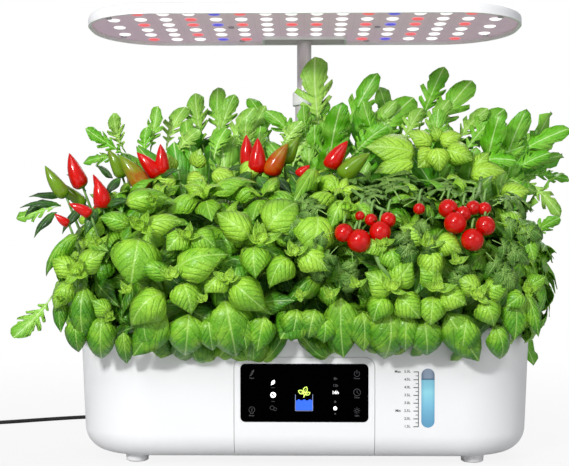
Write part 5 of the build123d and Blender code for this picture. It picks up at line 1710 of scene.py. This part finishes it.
class GARDEN_OT_mast(bpy.types.Operator):
    """Finishes the telescopic mast and the lamp"""

    bl_idname = "garden.mast"
    bl_label = "Mast and lamp"

    def execute(self, context):
        # The mast's pink tint is painted light of the LEDs.
        alloy = brushed("mast_aluminium", "#cfc6cd", "#f2eaf0", 0.34, metallic=0.25)
        refined("lower_mast", alloy)
        refined("upper_mast", alloy)
        refined("mast_bush", moulded("bush_black", "#18181a", 0.5))
        # The white bracket is painted pinkish grey: painted shade on its underside, tinted by the LEDs'
        # painted light.
        dress("mast_bracket", moulded("bracket_grey", "#c9b9bd", 0.35))
        refined("led_board", led_panel())
        self.leds("white", "#ffffff", "#f6f4f6", 1.0)
        self.leds("red", "#f0505a", "#f7a6ac", 0.8)
        self.leds("blue", "#4a3fd6", "#b9b4f4", 0.8)
        return {"FINISHED"}

    def leds(self, colour, core, rim, strength):
        """One colour's LED lenses, at the places of its CAD solids."""
        node = "leds_" + colour
        groups = []
        for vertex in frame["nodes"][node].data.vertices:
            flat = vertex.co.xy
            near = next((group for group in groups if (group[0] - flat).length < LED_WIDTH), None)
            if near is None:
                groups.append([flat.copy()])
            else:
                near.append(flat.copy())
        dome = [(0, -0.0014), (0.0026, -0.0013), (0.0044, -0.0010), (0.0055, -0.0004), (0.0058, 0.0)]
        shapes = shelf(node + "_shape", [lathe("led_lens_" + colour, [*dome, (0, 0.0)], 12)])
        places = []
        for group in groups:
            middle = sum(group, Vector((0, 0))) / len(group)
            places.append((Vector((*middle, LED_FACE)), Matrix.Identity(3), Vector((1, 1, 1)), 0, 0.5))
        finish = led_lens("led_" + colour, core, rim, strength)
        mesh = spread(node + "_lenses", spread_tree(node + "_spread"), shapes, places, finish)
        piece(mesh.name, mesh, "lamp", [node])


class GARDEN_OT_inside(bpy.types.Operator):
    """Finishes the pump, the float and the power parts"""

    bl_idname = "garden.inside"
    bl_label = "Pump, float and power"

    def execute(self, context):
        black = moulded("pump_black", "#17181a", 0.45)
        for node in ("pump_body", "pump_cover", "power_inlet", "power_plug", "adapter_relief"):
            refined(node, black)
        refined("pump_feet", moulded("pump_rubber", "#202022", 0.75, 0.0001))
        refined("pump_impeller", moulded("impeller_white", "#dcdcd8", 0.35))
        refined("level_float", moulded("float_white", "#e9e9e4", 0.5))
        refined("float_stem", moulded("float_stem_white", "#dededa", 0.4))
        refined("riser_tube", clear_plastic("riser_clear", "#cfd8da", 0.45))
        refined("pump_lead", moulded("pump_lead_black", "#151516", 0.5))
        refined("mains_adapter", moulded("adapter_black", "#161617", 0.42, 0.00012, 1200.0))
        dress("cord_tie", moulded("tie_black", "#1b1b1c", 0.7, 0.0002, 1600.0))
        dress("adapter_blades", brushed("blade_metal", "#c9b46a", "#e0cd86", 0.25))
        return {"FINISHED"}


class GARDEN_OT_planting(bpy.types.Operator):
    """Grows the basil, arugula, peppers and tomatoes"""

    bl_idname = "garden.planting"
    bl_label = "Planting"

    def execute(self, context):
        rng = random.Random(SEED)
        shapes = leaf_shapes()
        tree = spread_tree("leaf_spread")
        beds = {kind: Bed(rng) for kind in PLANTS}
        grow_basil(beds["basil"])
        grow_arugula(beds["arugula"])
        grow_peppers(beds["pepper"])
        grow_tomatoes(beds["tomato"])
        for kind, *mound in MOUNDS:
            grow_mound(beds[kind], *mound)
        for kind, bed in beds.items():
            *colours, back = (tint(code) for code in LEAF_COLOURS[kind])
            top = leaf_finish(kind + "_leaf", colours, *LEAF_FEEL[kind])
            back = underside(kind + "_underside", back, colours[-1])
            for plant in PLANTS[kind]:
                number = plant + 1 if kind == "basil" else plant + 7
                mesh = spread(f"{kind}_foliage_{number:02d}", tree, shapes[kind], bed.leaves[plant], top)
                stands_for = [f"{kind}_plant_{number:02d}"]
                made = piece(mesh.name, mesh, "garden", stands_for, [back])
                body = made.modifiers.new("thickness", "SOLIDIFY")
                body.thickness = LEAF_THICKNESS
                body.offset = -1
                body.material_offset = 1
        grow_chillies(tree, rng)
        grow_tomato_fruit(tree, rng)
        grow_stems(rng)
        return {"FINISHED"}


class GARDEN_PT_panel(bpy.types.Panel):
    bl_label = "Garden"
    bl_idname = "GARDEN_PT_panel"
    bl_space_type = "VIEW_3D"
    bl_region_type = "UI"
    bl_category = "Garden"

    def draw(self, context):
        for group in (context.scene.garden_sizes, context.scene.garden_colours):
            for key in group.bl_rna.properties.keys():
                if key not in ("rna_type", "name"):
                    self.layout.prop(group, key)
        for step in STEPS:
            self.layout.operator(step.bl_idname)


STEPS = (
    GARDEN_OT_stage,
    GARDEN_OT_lead,
    GARDEN_OT_housing,
    GARDEN_OT_display,
    GARDEN_OT_mast,
    GARDEN_OT_inside,
    GARDEN_OT_planting,
)
CLASSES = (GARDEN_PG_sizes, GARDEN_PG_colours, *STEPS, GARDEN_PT_panel)


def register():
    for part in CLASSES:
        bpy.utils.register_class(part)
    bpy.types.Scene.garden_sizes = bpy.props.PointerProperty(type=GARDEN_PG_sizes)
    bpy.types.Scene.garden_colours = bpy.props.PointerProperty(type=GARDEN_PG_colours)


def unregister():
    del bpy.types.Scene.garden_sizes
    del bpy.types.Scene.garden_colours
    for part in reversed(CLASSES):
        bpy.utils.unregister_class(part)


def main():
    register()
    for step in STEPS:
        group, action = step.bl_idname.split(".")
        getattr(getattr(bpy.ops, group), action)()


if __name__ == "__main__":
    main()
